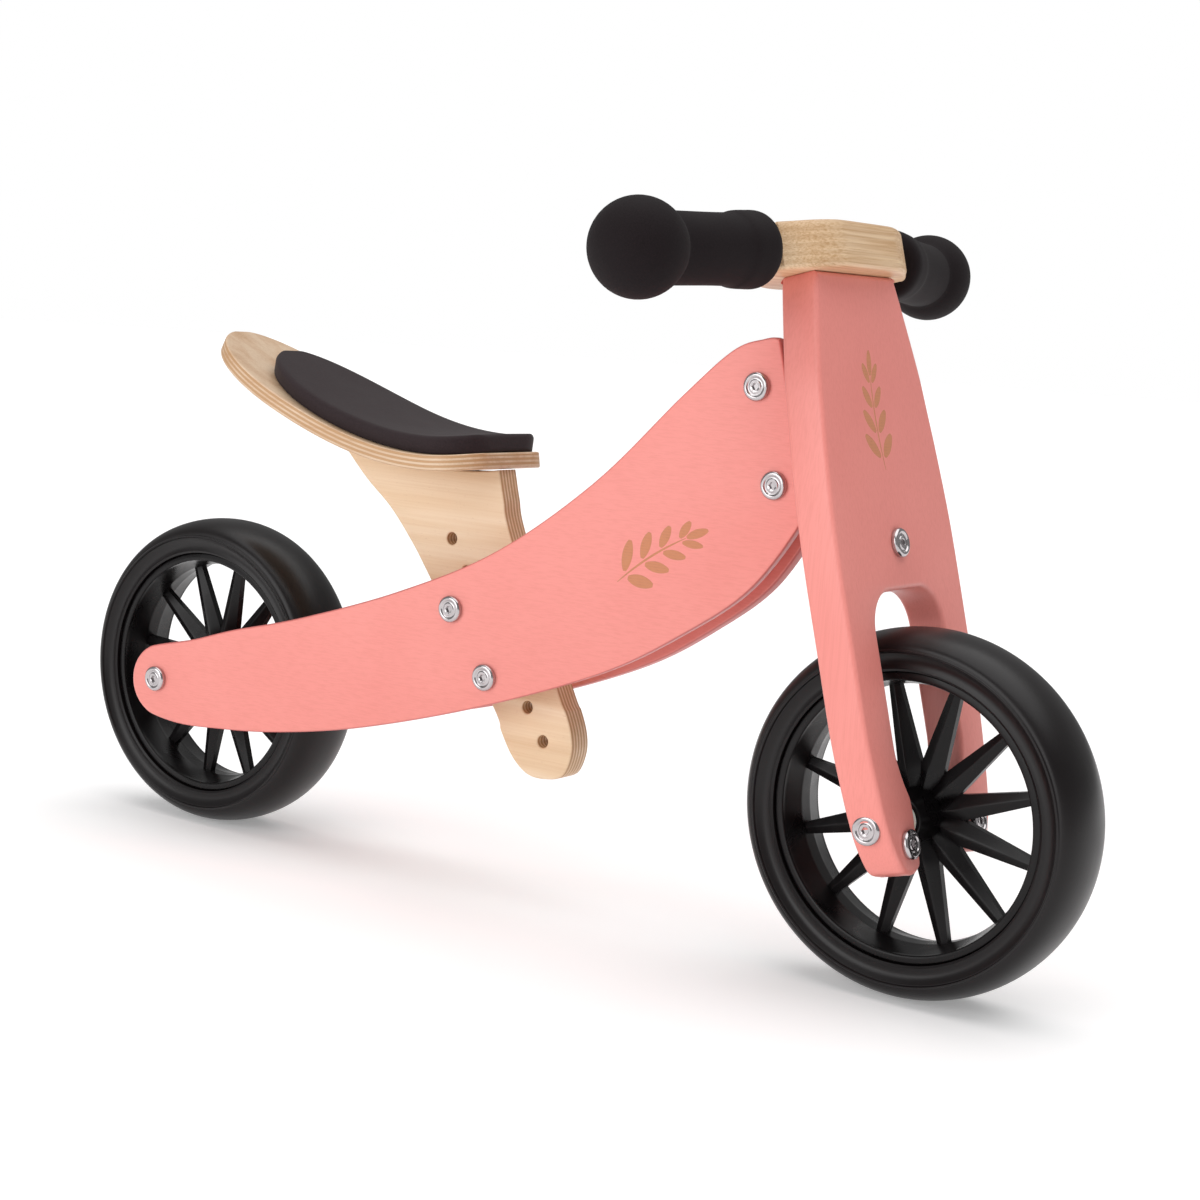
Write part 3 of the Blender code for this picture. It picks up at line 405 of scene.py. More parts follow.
coralAlong = coralLacquerOnPly("coral lacquer on birch ply, grain along", 0)
coralUpright = coralLacquerOnPly("coral lacquer on birch ply, grain upright", 2)
seatPly = lacqueredBirchPly("lacquered birch ply, seat", seatTones, grainAxis=0, plyMm=1.36,
                            plyShare=0.85, streaks=0.3, depthKey="depthMm")
postPly = lacqueredBirchPly("lacquered birch ply, post", postTones, grainAxis=0, plyMm=1.42,
                            plyShare=0.85, streaks=0.22)
barPly = lacqueredBirchPly("lacquered birch ply, handlebar", barTones, grainAxis=1, plyMm=2.1,
                           plyShare=0.25, streaks=0.6, turn=rake)
beechBlock = lacqueredBirchPly("planed beech", seatTones, grainAxis=2, plyMm=40.0,
                               plyShare=0.0, streaks=0.5)
gripFoam = evaFoam("EVA foam, grips", "#160f11", "#1d1417", cellMm=0.9, rough=(0.75, 0.85),
                   sheen=0.02, gloss=0.20, reliefMm=0.12)
padFoam = evaFoam("EVA foam, seat pad", "#281d1f", "#33272a", cellMm=1.1, rough=(0.75, 0.85),
                  sheen=0.08, gloss=0.25, reliefMm=0.12)
tyreFoam = evaFoam("moulded EVA foam, tyres", "#100c0d", "#161112", cellMm=0.7,
                   rough=(0.29, 0.39), sheen=0.0, gloss=0.32, reliefMm=0.03)
# Glass-filled nylon from a polished mould: near black and satin, with faint flow marks.
nylon = speckled("moulded nylon", patternMm=17, gritMm=0.5, tones=("#0a0809", "#110e0f"),
                 rough=(0.24, 0.36), reliefMm=0.015, distortion=0.8, IOR=1.53,
                 Specular_IOR_Level=0.22)
# Nickel plate is bright and warm grey; its polish drifts a little over fine tool marks.
nickel = speckled("nickel-plated steel", patternMm=6, gritMm=0.5,
                  tones=("#aaa5a7", "#cfcacb"), rough=(0.12, 0.24), reliefMm=0.008,
                  Metallic=1.0)
# Cast aluminium is duller and greyer, and its grit is from blasting.
casting = speckled("cast aluminium", patternMm=6, gritMm=0.7, tones=("#8f9092", "#a6a7aa"),
                   rough=(0.38, 0.52), reliefMm=0.08, Metallic=1.0)
# Turned acetal is milky white and slightly waxy, with light a little way under its skin.
acetal = speckled("natural acetal", patternMm=0.6, gritMm=0.6, tones=("#e4e0d4", "#efece2"),
                  rough=(0.33, 0.43), reliefMm=0.02, driftSpan=(0, 1), IOR=1.48,
                  Subsurface_Weight=0.15, Subsurface_Scale=0.002)
etched = laserEtchedPly()
print("materials made")

# The sections are halves, as (radius, height) in mm. The tyre's bead and wallStart are
# measured from its bore and side, and wallEnd and creaseRing from its crease and side. The
# rim runs from the tyre's bed over the lip to the throat, and the hub from bore to waist.
wheelLook = dict(halfWidth=25 * mm, bore=78.3 * mm, crease=89.7 * mm, sidewallDish=1.7 * mm,
                 bead=((0.0, -5.5), (0.0, -3.2)), wallStart=(1.2, -2.4), wallEnd=(-1.8, -0.5),
                 creaseRing=((-1.5, -0.5), (-0.9, 0.6), (-0.2, 0.6), (0.4, -0.1)),
                 rimSection=((78.0, 20.1), (74.4, 20.5), (73.2, 20.0), (73.1, 18.1),
                             (70.4, 6.0), (70.0, 4.5)), rimSoftness=1.1 * mm,
                 hubSection=((8.3, 25.2), (11.9, 25.2), (12.5, 24.6), (12.5, 20.2),
                             (14.7, 8.0)),
                 spokes=12, spokeStart=10 * mm, spokeEnd=71 * mm, valley=26 * mm,
                 tipHalfWidth=3.2 * mm, edgeHalf=2.2 * mm, ridgeAtHub=5.5 * mm,
                 ridgeAtRim=1.6 * mm, ridgeSoftness=0.05, frontTurn=math.radians(17.3),
                 rearTurn=math.radians(22.0))


def tyreProfile():
    # A half-ellipse for the tread, a thin raised ring where it meets the sidewall, then a
    # hollow sidewall: a straight line dished by a sine, down to the rim.
    look = wheelLook
    side, crease = look["halfWidth"] / mm, look["crease"] / mm
    inner, outer = np.array((look["bore"] / mm, side)), np.array((crease, side))
    a = np.radians(np.linspace(90, 4, 16))[1:]
    tread = np.column_stack((crease + (wheelRadius / mm - crease) * np.cos(a),
                             side * np.sin(a)))
    t = np.linspace(0, 1, 12)[:, None]
    wall = (1 - t) * (inner + look["wallStart"]) + t * (outer + look["wallEnd"])
    wall[:, 1] -= look["sidewallDish"] / mm * np.sin(math.pi * t[:, 0])
    return mirrored(np.vstack((inner + look["bead"], wall, outer + look["creaseRing"],
                               tread)))


def spokeShells(phase):
    # One blade: its half-width is that of its sector out to the valley, then narrows in a
    # straight line to the tip; its face is a roof, edge height plus ridge height times
    # (1 - |s|), with the ridge's line eased by a hyperbola. Twelve turned copies of it.
    look = wheelLook
    valley, reach = look["valley"], look["spokeEnd"]
    r = np.concatenate((np.linspace(look["spokeStart"], valley, 8),
                        np.linspace(valley, reach, 16)[1:]))
    sector = math.tan(math.pi / look["spokes"])
    after = np.clip((r - valley) / (reach - valley), 0, 1)
    half = np.where(r < valley, r * sector,
                    valley * sector * (1 - after) + look["tipHalfWidth"] * after)
    out = (r - r[0]) / (r[-1] - r[0])
    ridge = look["ridgeAtHub"] * (1 - out) + look["ridgeAtRim"] * out
    ridge *= half / half.max() * 0.55 + 0.45      # lower where the blade is narrow
    s = np.array([-1, -0.8, -0.5, -0.2, -0.07, 0, 0.07, 0.2, 0.5, 0.8, 1])
    soft = look["ridgeSoftness"]
    eased = 1 - (np.sqrt(s ** 2 + soft ** 2) - soft) / (math.sqrt(1 + soft ** 2) - soft)
    top = look["edgeHalf"] + ridge[:, None] * eased[None]
    x = np.repeat(r[:, None], len(s) * 2, 1)
    y = np.hstack((half[:, None] * s[None], half[:, None] * s[None, ::-1]))
    z = np.hstack((top, -top[:, ::-1]))
    blade = endsClosed(np.stack((x, y, z), -1))
    faces = gridFaces(*blade.shape[:2], wrapColumns=True)
    points = blade.reshape(-1, 3)
    faces = facingOut(points, faces)
    turns = [Matrix.Rotation(phase + i * 2 * math.pi / look["spokes"], 4, "Z")
             for i in range(look["spokes"])]
    return [(placed(points, turn), faces) for turn in turns]


def buildWheel(word, body, axle):
    toAxle = axle @ Matrix.Rotation(quarter, 4, "X")
    points, faces = turned(tyreProfile(), 180, ring=True)
    makePiece(word + "Tyre", placed(points, toAxle), faces, body, tyreFoam,
              [word + "_tyre"])
    look = wheelLook
    rim = softCorners(mirrored(look["rimSection"]), look["rimSoftness"], 5)
    points, faces = joined([turned(rim, 160, ring=True),
                            turned(mirrored(look["hubSection"]), 48, ring=True)]
                           + spokeShells(look[word + "Turn"]))
    makePiece(word + "Rim", placed(points, toAxle), faces, body, nylon,
              [word + "_rim"], sharpAngle=30)


buildWheel("front", "front_wheel", frontAxle)
buildWheel("rear", "rear_wheel", rearAxle)
print("wheels made")

panelLook = dict(thickness=8 * mm, roundness=1.6 * mm, rearHalfWidth=62.6 * mm,
                 toe=math.radians(6.46), tailRadius=23.5 * mm, tailCentre=(4 * mm, -1 * mm))


def panelOutline():
    # A round tail, then one smooth curve through the top edge, the nose and the belly.
    look = panelLook
    a = np.radians(np.linspace(258, 100, 8))
    tail = np.column_stack((look["tailCentre"][0] + look["tailRadius"] * np.cos(a),
                            look["tailCentre"][1] + look["tailRadius"] * np.sin(a)))
    rest = np.array([(0.0265, 0.0287), (0.058, 0.039), (0.108, 0.053), (0.178, 0.078),
                     (0.2445, 0.110), (0.306, 0.1565), (0.357, 0.2095), (0.386, 0.237),
                     (0.404, 0.2445), (0.4125, 0.2455), (0.4150, 0.241), (0.4215, 0.216),
                     (0.4345, 0.170), (0.4365, 0.159), (0.4330, 0.144), (0.4068, 0.1065),
                     (0.3685, 0.077), (0.319, 0.048), (0.2405, 0.017), (0.158, -0.008),
                     (0.0925, -0.021), (0.0425, -0.0258), (0.0185, -0.0265)])
    return catmullRom(np.vstack((tail, rest)), 10, closed=True)[::-1]


def panelFrame(side, depth=0.0):
    # Along the panel from the rear axle, up, and across it; depth is in from its outer face.
    look = panelLook
    across = look["rearHalfWidth"] - depth / math.cos(look["toe"])
    return (Matrix.Translation((-halfWheelbase, side * across, wheelRadius))
            @ Matrix.Rotation(-side * look["toe"], 4, "Z") @ Matrix.Rotation(quarter, 4, "X"))


def buildPanels():
    look = panelLook
    for word, side in (("Right", -1), ("Left", 1)):
        points, walls, caps = board([panelOutline()], look["thickness"], look["roundness"])
        # On the panels the edge mask carries the coral's painted shade onto their rounded edges.
        onEdge = np.abs(points[:, 2]) < look["thickness"] / 2 - edgeStart
        makePiece("panel" + word, placed(points, panelFrame(side, look["thickness"] / 2)), walls,
                  "frame", coralAlong, ["panel_" + word.lower()],
                  flatFaces=caps, values={"edge": onEdge})


buildPanels()
print("panels made")

forkLook = dict(thickness=22 * mm, roundness=2.8 * mm, forward=24 * mm, top=0.290,
                bottom=-27.5 * mm, archTop=119.5 * mm, archRadius=21 * mm, slot=38.5 * mm,
                foot=29.5 * mm)


def forkOutline():
    # One half from the top corner down the outside, round the foot, up the slot and over
    # the arch; then its mirror image.
    look = forkLook
    outer = catmullRom([(0.0415, look["top"]), (0.0440, 0.2875), (0.0510, 0.262), (0.0575, 0.235),
                        (0.0605, 0.215), (0.0635, 0.194), (0.0670, 0.160), (0.0680, 0.130),
                        (0.0680, 0.090), (0.0680, 0.049), (0.0650, 0.020), (0.0615, 0.0),
                        (0.0570, -0.013), (0.0500, -0.024), (0.0400, look["bottom"])], 8)
    inner = catmullRom([(0.0370, look["bottom"]), (0.0312, -0.0245), (look["foot"], -0.018),
                        (look["foot"], -0.004), (look["foot"], 0.010), (0.0345, 0.022),
                        (0.0380, 0.034), (look["slot"], 0.045)], 8)
    a = np.linspace(0, quarter, 24)
    arch = np.column_stack((look["slot"] - look["archRadius"] * (1 - np.cos(a)),
                            look["archTop"] - look["archRadius"] * (1 - np.sin(a))))
    half = np.vstack((outer, inner, arch))
    return np.vstack((half, half[::-1] * (-1, 1)))[::-1]


def forkFrame(forward, up=0.0):
    # A board that stands across the bike: its own X to the left, its Y up, its Z forward.
    return (steeringFrame @ Matrix.Translation((forward, 0, up))
            @ Matrix.Rotation(quarter, 4, "Z") @ Matrix.Rotation(quarter, 4, "X"))


def buildFork():
    look = forkLook
    points, walls, caps = board([forkOutline()], look["thickness"], look["roundness"], 7)
    makePiece("forkBoard", placed(points, forkFrame(look["forward"])), walls, "fork",
              coralUpright, ["fork_board"], flatFaces=caps)


buildFork()
print("fork made")

# The outline's two halves are points (forward, sideways) in mm from the steering pin: the
# shoulder from the middle of the front to the arm, the waist from the arm to the back.
barLook = dict(height=25 * mm, roundness=3.2 * mm, halfLength=68 * mm, middle=0.3028,
               armForward=17.8 * mm, armRadius=11 * mm, armLength=84 * mm, armSunk=20 * mm,
               armEase=1 * mm, sweep=math.radians(10.6),
               shoulder=((47.0, 0.0), (47.0, 18.0), (46.2, 32.0), (41.5, 47.0),
                         (35.0, 59.0), (30.3, 68.0)),
               waist=((4.598, 67.064), (2.3, 54.0), (-7.0, 36.0), (-10.5, 20.0),
                      (-10.5, 0.0)))
# Neck and flare are (radius, height) in mm: the neck's heights are from the end of the
# ball's curve, and the flare's from the grip's start.
gripLook = dict(length=115.6 * mm, ball=25.3 * mm, sleeve=18.4 * mm, start=2.5 * mm,
                gap=0.3 * mm, neck=((18.55, -2.0), (18.4, -8.0)),
                flare=((18.4, 28.0), (19.7, 19.0), (20.0, 12.0), (20.0, 5.0), (18.4, 1.4),
                       (15.0, 0.0)))


def barOutline():
    # Full and slightly bowed in front, narrowing and turning back into the two arms.
    half = np.vstack([catmullRom(barLook[key], 10) for key in ("shoulder", "waist")]) * mm
    return np.vstack((half, (half[1:-1] * (1, -1))[::-1]))


def armFrame(side):
    return (steeringFrame
            @ Matrix.Translation((barLook["armForward"], side * barLook["halfLength"],
                                  barLook["middle"]))
            @ Matrix.Rotation(side * barLook["sweep"], 4, "Z")
            @ Matrix.Rotation(-side * quarter, 4, "X"))


def buildHandlebar():
    look = barLook
    flat, walls, caps = board([barOutline()], look["height"], look["roundness"], 7)
    points = placed(flat, steeringFrame @ Matrix.Translation((0, 0, look["middle"])))
    radius, length, ease = look["armRadius"], look["armLength"], look["armEase"]
    armPoints, armFaces = turned([(0.0, -look["armSunk"]), (radius, -look["armSunk"]),
                                  (radius, length - ease), (radius - ease, length),
                                  (0.0, length)], 48)
    allPoints, allFaces = joined([(points, walls)] + [
        (placed(armPoints, armFrame(side)), armFaces) for side in (-1, 1)])
    onEdge = np.concatenate((np.abs(flat[:, 2]) < look["height"] / 2 - edgeStart,
                             np.zeros(len(allPoints) - len(flat))))
    makePiece("handlebarBoard", allPoints, allFaces, "fork", barPly,
              ["handlebar"], flatFaces=caps, values={"edge": onEdge})


def gripProfile():
    # A ball, an easy neck, a straight sleeve and a flared inner end, all one curve.
    look = gripLook
    neckAngle = math.pi - math.asin(look["sleeve"] / look["ball"]) - 0.10
    a = np.linspace(0, neckAngle, 26)
    knob = np.column_stack((look["ball"] * np.sin(a),
                            look["length"] - look["ball"] + look["ball"] * np.cos(a)))
    sleeve = catmullRom(np.vstack((np.array(look["neck"]) * mm + (0, knob[-1, 1]),
                                   np.array(look["flare"]) * mm + (0, look["start"]))), 6)
    wall, end = barLook["armRadius"] + look["gap"], barLook["armLength"] + look["gap"]
    return np.vstack((knob, sleeve, [(wall, look["start"]), (wall, end), (0.0, end)]))


def buildGrips():
    for word, side in (("Right", -1), ("Left", 1)):
        points, faces = turned(gripProfile(), 96)
        grip = makePiece("grip" + word, placed(points, armFrame(side)), faces, "fork", gripFoam,
                         ["grip_" + word.lower()], sharpAngle=60)


buildHandlebar()
buildGrips()
print("handlebar and grips made")

seatLook = dict(place=(-0.066, 0.0, 0.210), front=33.5 * mm, tail=-190 * mm,
                halfWidth=46.7 * mm, tailLength=80 * mm, corner=26 * mm, thickness=9.5 * mm,
                round=1.3 * mm, frontHeight=55.5 * mm, slope=-0.1990, bend=3.015,
                flatten=-4.366)
padLook = dict(tail=-151 * mm, front=32.5 * mm, inset=3.0 * mm, thickness=10.5 * mm,
               crown=0.5 * mm, gap=0.4 * mm, lowRound=0.6 * mm, highRound=3.0 * mm)
postLook = dict(thickness=17 * mm, roundness=1.2 * mm, setBack=1 * mm, rear=-106 * mm,
                holeTilt=math.radians(34.6), holeSpacing=22.7 * mm, holes=7,
                holeRadius=3.7 * mm, steepest=math.radians(20), gap=0.3 * mm)


def seatHeight(x):
    # A cubic in the distance b back from the front edge: h + slope b + bend b^2 +
    # flatten b^3, with b and the height in metres.
    b = seatLook["front"] - x
    return (seatLook["frontHeight"] + seatLook["slope"] * b + seatLook["bend"] * b ** 2
            + seatLook["flatten"] * b ** 3)


def seatWidth(x, tail, front, halfWidth):
    # Half the width: an ellipse-like tail, straight sides, and a quarter circle each side
    # at the front.
    short = np.clip(1 - (x - tail) / seatLook["tailLength"], 0, 1)
    width = halfWidth * np.sqrt(np.clip(1 - short ** 2.3, 0, 1))
    near = np.clip(seatLook["corner"] - (front - x), 0, seatLook["corner"])
    return width - (seatLook["corner"] - np.sqrt(seatLook["corner"] ** 2 - near ** 2))


def bentSlab(tail, front, halfWidth, low, high, lowRound, highRound, crown=0.0):
    # Sections across the seat, square to its curve and closer together towards its ends. Each
    # is a rounded oblong: flat below and above with quarter-circle edges, and the same
    # rounding closes the slab's two ends.
    u = np.concatenate((np.linspace(0, 1, 60) ** 2 * 0.3, np.linspace(0.3, 0.93, 50)[1:],
                        1 - 0.07 * np.linspace(1, 0, 30)[1:] ** 2))
    x = tail + (front - tail) * u
    width = seatWidth(x, tail, front, halfWidth)
    a = np.linspace(0, quarter, 6)
    flat, corner = np.linspace(-1, 1, 25), np.ones(2 * len(a))
    level = np.ones(len(flat))
    # Around the section: share of the flat width, sideways rounding, and height.
    share = np.concatenate((flat, corner, flat[::-1], -corner))
    side = np.concatenate((0 * level, highRound * np.sin(a), lowRound * np.cos(a),
                           0 * level, -lowRound * np.sin(a), -highRound * np.cos(a)))
    height = np.concatenate((high * level, high - highRound * (1 - np.cos(a)),
                             low + lowRound * (1 - np.sin(a)), low * level,
                             low + lowRound * (1 - np.cos(a)),
                             high - highRound * (1 - np.sin(a))))
    most = max(highRound, lowRound)
    room = np.clip(width / most, 0.02, 1)[:, None]
    y = share[None] * np.clip(width - most, 0, None)[:, None] + side[None] * room
    toEnd = np.minimum(x - tail, front - x)[:, None]
    closing = np.clip(1 - toEnd / highRound, 0, 1)
    ease = highRound * (1 - np.sqrt(1 - closing ** 2))
    middle = (low + high) / 2
    h = height[None] - np.sign(height[None] - middle) * np.minimum(
        ease, np.abs(height[None] - middle))
    h = h + crown * (1 - np.clip(np.abs(y) / halfWidth, 0, 1) ** 2) * (height[None] > middle)
    slope = (seatHeight(x + 0.01 * mm) - seatHeight(x - 0.01 * mm)) / (0.02 * mm)
    across = 1 / np.sqrt(1 + slope ** 2)
    px = x[:, None] - (slope * across)[:, None] * h
    pz = seatHeight(x)[:, None] + across[:, None] * h
    points = np.stack((px, y, pz), -1)
    closed = endsClosed(points)
    depth = np.pad(h, ((1, 1), (0, 0)), constant_values=middle)
    edge = (height < high - edgeStart) & (height > low + edgeStart)
    edge = np.repeat(edge[None], len(closed), 0)
    edge[-2:] = True
    faces = gridFaces(*closed.shape[:2], wrapColumns=True)
    points = closed.reshape(-1, 3)
    return points, facingOut(points, faces), depth.ravel(), edge.ravel()


def postOutline():
    # Under the seat it follows the board; behind, it sweeps down to a round foot.
    below = seatLook["thickness"] / math.cos(postLook["steepest"]) + postLook["gap"]
    front = seatLook["front"] - postLook["setBack"]
    x = np.linspace(front, postLook["rear"], 40)
    top = np.column_stack((x, seatHeight(x) - below))
    rest = catmullRom([tuple(top[-1]), (-0.073, 0.032), (-0.050, 0.014), (-0.031, -0.006),
                       (-0.016, -0.025), (0.038, -0.096), (0.046, -0.111), (0.0555, -0.125),
                       (0.067, -0.1335), (0.080, -0.1345), (0.093, -0.1305),
                       (0.0985, -0.118), (0.098, -0.106), (0.093, -0.093), (0.085, -0.079),
                       (0.0445, 0.005), (0.037, 0.028), tuple(top[0])], 8)
    return np.vstack((top[:-1], rest[:-1]))


def buildSeat():
    look, pad, post = seatLook, padLook, postLook
    shift = Matrix.Translation(look["place"])
    points, faces, depth, edge = bentSlab(look["tail"], look["front"], look["halfWidth"],
                                          -look["thickness"], 0.0, look["round"],
                                          look["round"])
    makePiece("seatBoard", placed(points, shift), faces, "frame", seatPly,
              ["seat_board"], values={"depthMm": -depth / mm, "edge": edge})
    points, faces, depth, edge = bentSlab(pad["tail"], pad["front"],
                                          look["halfWidth"] - pad["inset"], pad["gap"],
                                          pad["gap"] + pad["thickness"], pad["lowRound"],
                                          pad["highRound"], pad["crown"])
    cushion = makePiece("seatPad", placed(points, shift), faces, "frame", padFoam,
                        ["seat_pad"], sharpAngle=60)
    outlines = [postOutline()]
    for index in range(post["holes"]):
        step = index * post["holeSpacing"]
        centre = (step * math.sin(post["holeTilt"]), -step * math.cos(post["holeTilt"]))
        outlines.append(circle(post["holeRadius"], 40, centre)[::-1])
    points, walls, caps = board(outlines, post["thickness"], post["roundness"])
    onEdge = np.abs(points[:, 2]) < post["thickness"] / 2 - edgeStart
    stand = shift @ Matrix.Rotation(quarter, 4, "X")
    makePiece("seatPost", placed(points, stand), walls, "frame", postPly,
              ["seat_post"], flatFaces=caps, values={"edge": onEdge})


buildSeat()
print("seat made")

# The head is (radius, depth below its top) in mm: socket, land, dish, rim and flange.
screwLook = dict(height=3 * mm, shank=2.5 * mm, sleeve=3.4 * mm, pin=4 * mm, tip=0.5 * mm,
                 head=((0.0, 1.7), (2.12, 1.7), (2.12, 0.55), (2.25, 0.35), (3.3, 0.35),
                       (3.7, 0.75), (4.3, 0.95), (4.9, 0.85), (5.4, 0.30), (5.8, 0.05),
                       (6.3, 0.0), (6.9, 0.15), (7.5, 0.55), (7.9, 1.15), (8.0, 1.7),
                       (8.0, 2.85), (7.85, 3.0)))


def screwShell(shank, length):
    # A dished furniture screw, turned from its profile. Then the two rings of the socket's
    # wall become a hexagon: their radius goes round as r cos 30 / cos(a mod 60 - 30).
    look, steps = screwLook, 48
    head = np.array(look["head"]) * (mm, -mm) + (0, look["height"])
    profile = np.vstack((head, [(shank, 0.0), (shank, -length + look["tip"]),
                                (shank - look["tip"], -length), (0.0, -length)]))
    points, faces = turned(profile, steps)
    points = points.reshape(steps, len(profile), 3)
    a = (np.arange(steps) * 360 / steps) % 60 - 30
    points[:, 1:3, :2] *= (math.cos(math.radians(30)) / np.cos(np.radians(a)))[:, None, None]
    return points.reshape(-1, 3), faces


def pieceName(node):
    # The CAD node's name in the way that pieces are named here.
    first, *others = node.split("_")
    return first + "".join(word.capitalize() for word in others)


def nodePoints(node, toLocal):
    # A CAD node's corners, seen from another frame.
    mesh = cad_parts[node].data
    flat = np.zeros(len(mesh.vertices) * 3)
    mesh.vertices.foreach_get("co", flat)
    return placed(flat.reshape(-1, 3), toLocal)


def buildScrew(node, body, facing, shank):
    # facing turns +Z to the way the head looks; the place comes from the CAD node.
    local = nodePoints(node, facing.inverted())
    low, high = local.min(0), local.max(0)
    headSeat = high[2] - screwLook["height"]
    points, faces = screwShell(shank, headSeat - low[2])
    middle = (low + high) / 2
    stand = facing @ Matrix.Translation((middle[0], middle[1], headSeat))
    makePiece(pieceName(node), placed(points, stand), faces, body, nickel,
              [node], sharpAngle=32)


def buildScrews():
    right = Matrix.Rotation(quarter, 4, "X")       # +Z to the bike's right
    left = Matrix.Rotation(-quarter, 4, "X")
    ahead = steeringFrame @ Matrix.Rotation(quarter, 4, "Y")
    behind = steeringFrame @ Matrix.Rotation(-quarter, 4, "Y")
    thin, wide = screwLook["shank"], screwLook["sleeve"]
    for stem, body in (("head_upper", "frame"), ("head_lower", "frame"),
                       ("seat_upper", "frame"), ("seat_lower", "frame"),
                       ("rear_axle", "frame"), ("front_axle", "fork")):
        buildScrew(stem + "_bolt", body, right, thin)
        buildScrew(stem + "_sleeve_nut", body, left, wide)
    for word in ("right", "left"):
        buildScrew("foot_bolt_" + word, "fork", ahead, thin)
        buildScrew("foot_bolt_nut_" + word, "fork", behind, wide)
        buildScrew("handlebar_screw_" + word, "fork", steeringFrame, thin)
    buildScrew("steering_lug_bolt", "fork", ahead, thin)
    buildScrew("kingpin", "fork", steeringFrame, screwLook["pin"])


ringLook = dict(bore=3.7 * mm, washer=9 * mm, bush=8 * mm, flange=10.5 * mm,
                flangeThickness=1.5 * mm, ease=0.35 * mm)


def buildRing(node, body, axle, flanged):
    # A washer or a flanged bush between the CAD node's two ends; its corners are eased.
    look = ringLook
    side = 1 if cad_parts[node].data.vertices[0].co.y > 0 else -1
    toAxle = axle @ Matrix.Rotation(-side * quarter, 4, "X")
    local = nodePoints(node, toAxle.inverted())
    low, high = local[:, 2].min(), local[:, 2].max()
    outer = look["bush"] if flanged else look["washer"]
    profile = [(look["bore"], high), (outer, high), (outer, low), (look["bore"], low)]
    if flanged:
        step = high - look["flangeThickness"]
        profile[1:2] = [(look["flange"], high), (look["flange"], step), (outer, step)]
    points, faces = turned(softCorners(profile, look["ease"], 3), 48, ring=True)
    makePiece(pieceName(node), placed(points, toAxle), faces, body,
              acetal if flanged else nickel, [node])


def buildRings():
    for word in ("_right", "_left"):
        buildRing("front_washer" + word, "fork", frontAxle, False)
        buildRing("rear_spacer" + word, "frame", rearAxle, False)
        buildRing("front_bush" + word, "front_wheel", frontAxle, True)
        buildRing("rear_bush" + word, "rear_wheel", rearAxle, True)


buildScrews()
buildRings()
print("screws and rings made")

sprigLook = dict(length=72 * mm, stemShare=0.86, stemWidth=1.5 * mm, leaf=21 * mm,
                 leafWidth=8.5 * mm, tipLeaf=16.8 * mm, tipWidth=6.375 * mm, pairs=4,
                 pairSpan=(-0.34, 0.22), shrink=0.3, spread=math.radians(46), bow=4 * mm,
                 height=0.08 * mm, sunk=0.30 * mm, onPanel=(0.352, 0.118, 0.0),
                 panelLean=math.radians(34), onFork=0.214)


def leafShell(length, width):
    # u runs along the leaf and v across. Half its width is W sin(pi u)^0.8, and its top rises
    # steeply from the rim to a nearly flat middle: (1 - v^8)(1 - (2u - 1)^8).
    look = sprigLook
    u = np.linspace(0, 1, 21)[:, None]
    v = np.linspace(-1, 1, 13)[None]
    half = width / 2 * np.abs(np.sin(math.pi * u)) ** 0.8
    rise = (look["height"] + look["sunk"]) * (1 - v ** 8) * (1 - (2 * u - 1) ** 8)
    top = np.stack((u * length + 0 * v, half * v, rise - look["sunk"]), -1)
    under = top[:, ::-1] * (1, 1, 0) - (0, 0, look["sunk"])
    points = np.concatenate((top, under), 1)
    return points.reshape(-1, 3), gridFaces(*points.shape[:2], wrapColumns=True)


def etchSprig(name, body, face):
    # A generic sprig: a stem, pairs of leaves that shrink towards the tip, and one at the tip;
    # the whole is then bowed by b (1 - (2x / L)^2).
    look = sprigLook
    length = look["length"]
    shells = [(leafShell(length * look["stemShare"], look["stemWidth"]),
               Matrix.Translation((-length / 2, 0, 0))),
              (leafShell(look["tipLeaf"], look["tipWidth"]),
               Matrix.Translation((length / 2 - look["tipLeaf"], 0, 0)))]
    for index, along in enumerate(np.linspace(*look["pairSpan"], look["pairs"])):
        size = 1 - look["shrink"] * index / (look["pairs"] - 1)
        for side in (-1, 1):
            turn = (Matrix.Translation((along * length, side * look["stemWidth"] / 2, 0))
                    @ Matrix.Rotation(side * look["spread"] * size, 4, "Z"))
            shells.append((leafShell(look["leaf"] * size, look["leafWidth"] * size), turn))
    points, faces = joined([(placed(leaf[0], turn), leaf[1]) for leaf, turn in shells])
    points[:, 1] += look["bow"] * (1 - (2 * points[:, 0] / length) ** 2)
    points = placed(points, face)
    makePiece(name, points, facingOut(points, faces), body, etched)


def etchSprigs():
    # One on the outside of each panel, rising with it, and one up the front of the fork.
    for word, side in (("Right", -1), ("Left", 1)):
        outward = Matrix.Diagonal((1, 1, -side, 1))
        etchSprig("sprig" + word, "frame",
                  panelFrame(side) @ outward @ Matrix.Translation(sprigLook["onPanel"])
                  @ Matrix.Rotation(sprigLook["panelLean"], 4, "Z"))
    face = forkFrame(forkLook["forward"] + forkLook["thickness"] / 2, sprigLook["onFork"])
    etchSprig("sprigFork", "fork", face @ Matrix.Rotation(quarter, 4, "Z"))


etchSprigs()
print("sprigs etched")

# These CAD pieces keep their shape.
kept = {"head_bracket": casting, "steering_bush_upper": acetal, "steering_bush_lower": acetal,
        "seat_clamp_right": beechBlock, "seat_clamp_left": beechBlock,
        "seat_screw_front": nickel, "seat_screw_rear": nickel, "kingpin_nut": nickel,
        "steering_spacer": nickel, "steering_lug": nickel}
for node, material in kept.items():
    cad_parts[node].data.materials.clear()
    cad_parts[node].data.materials.append(material)

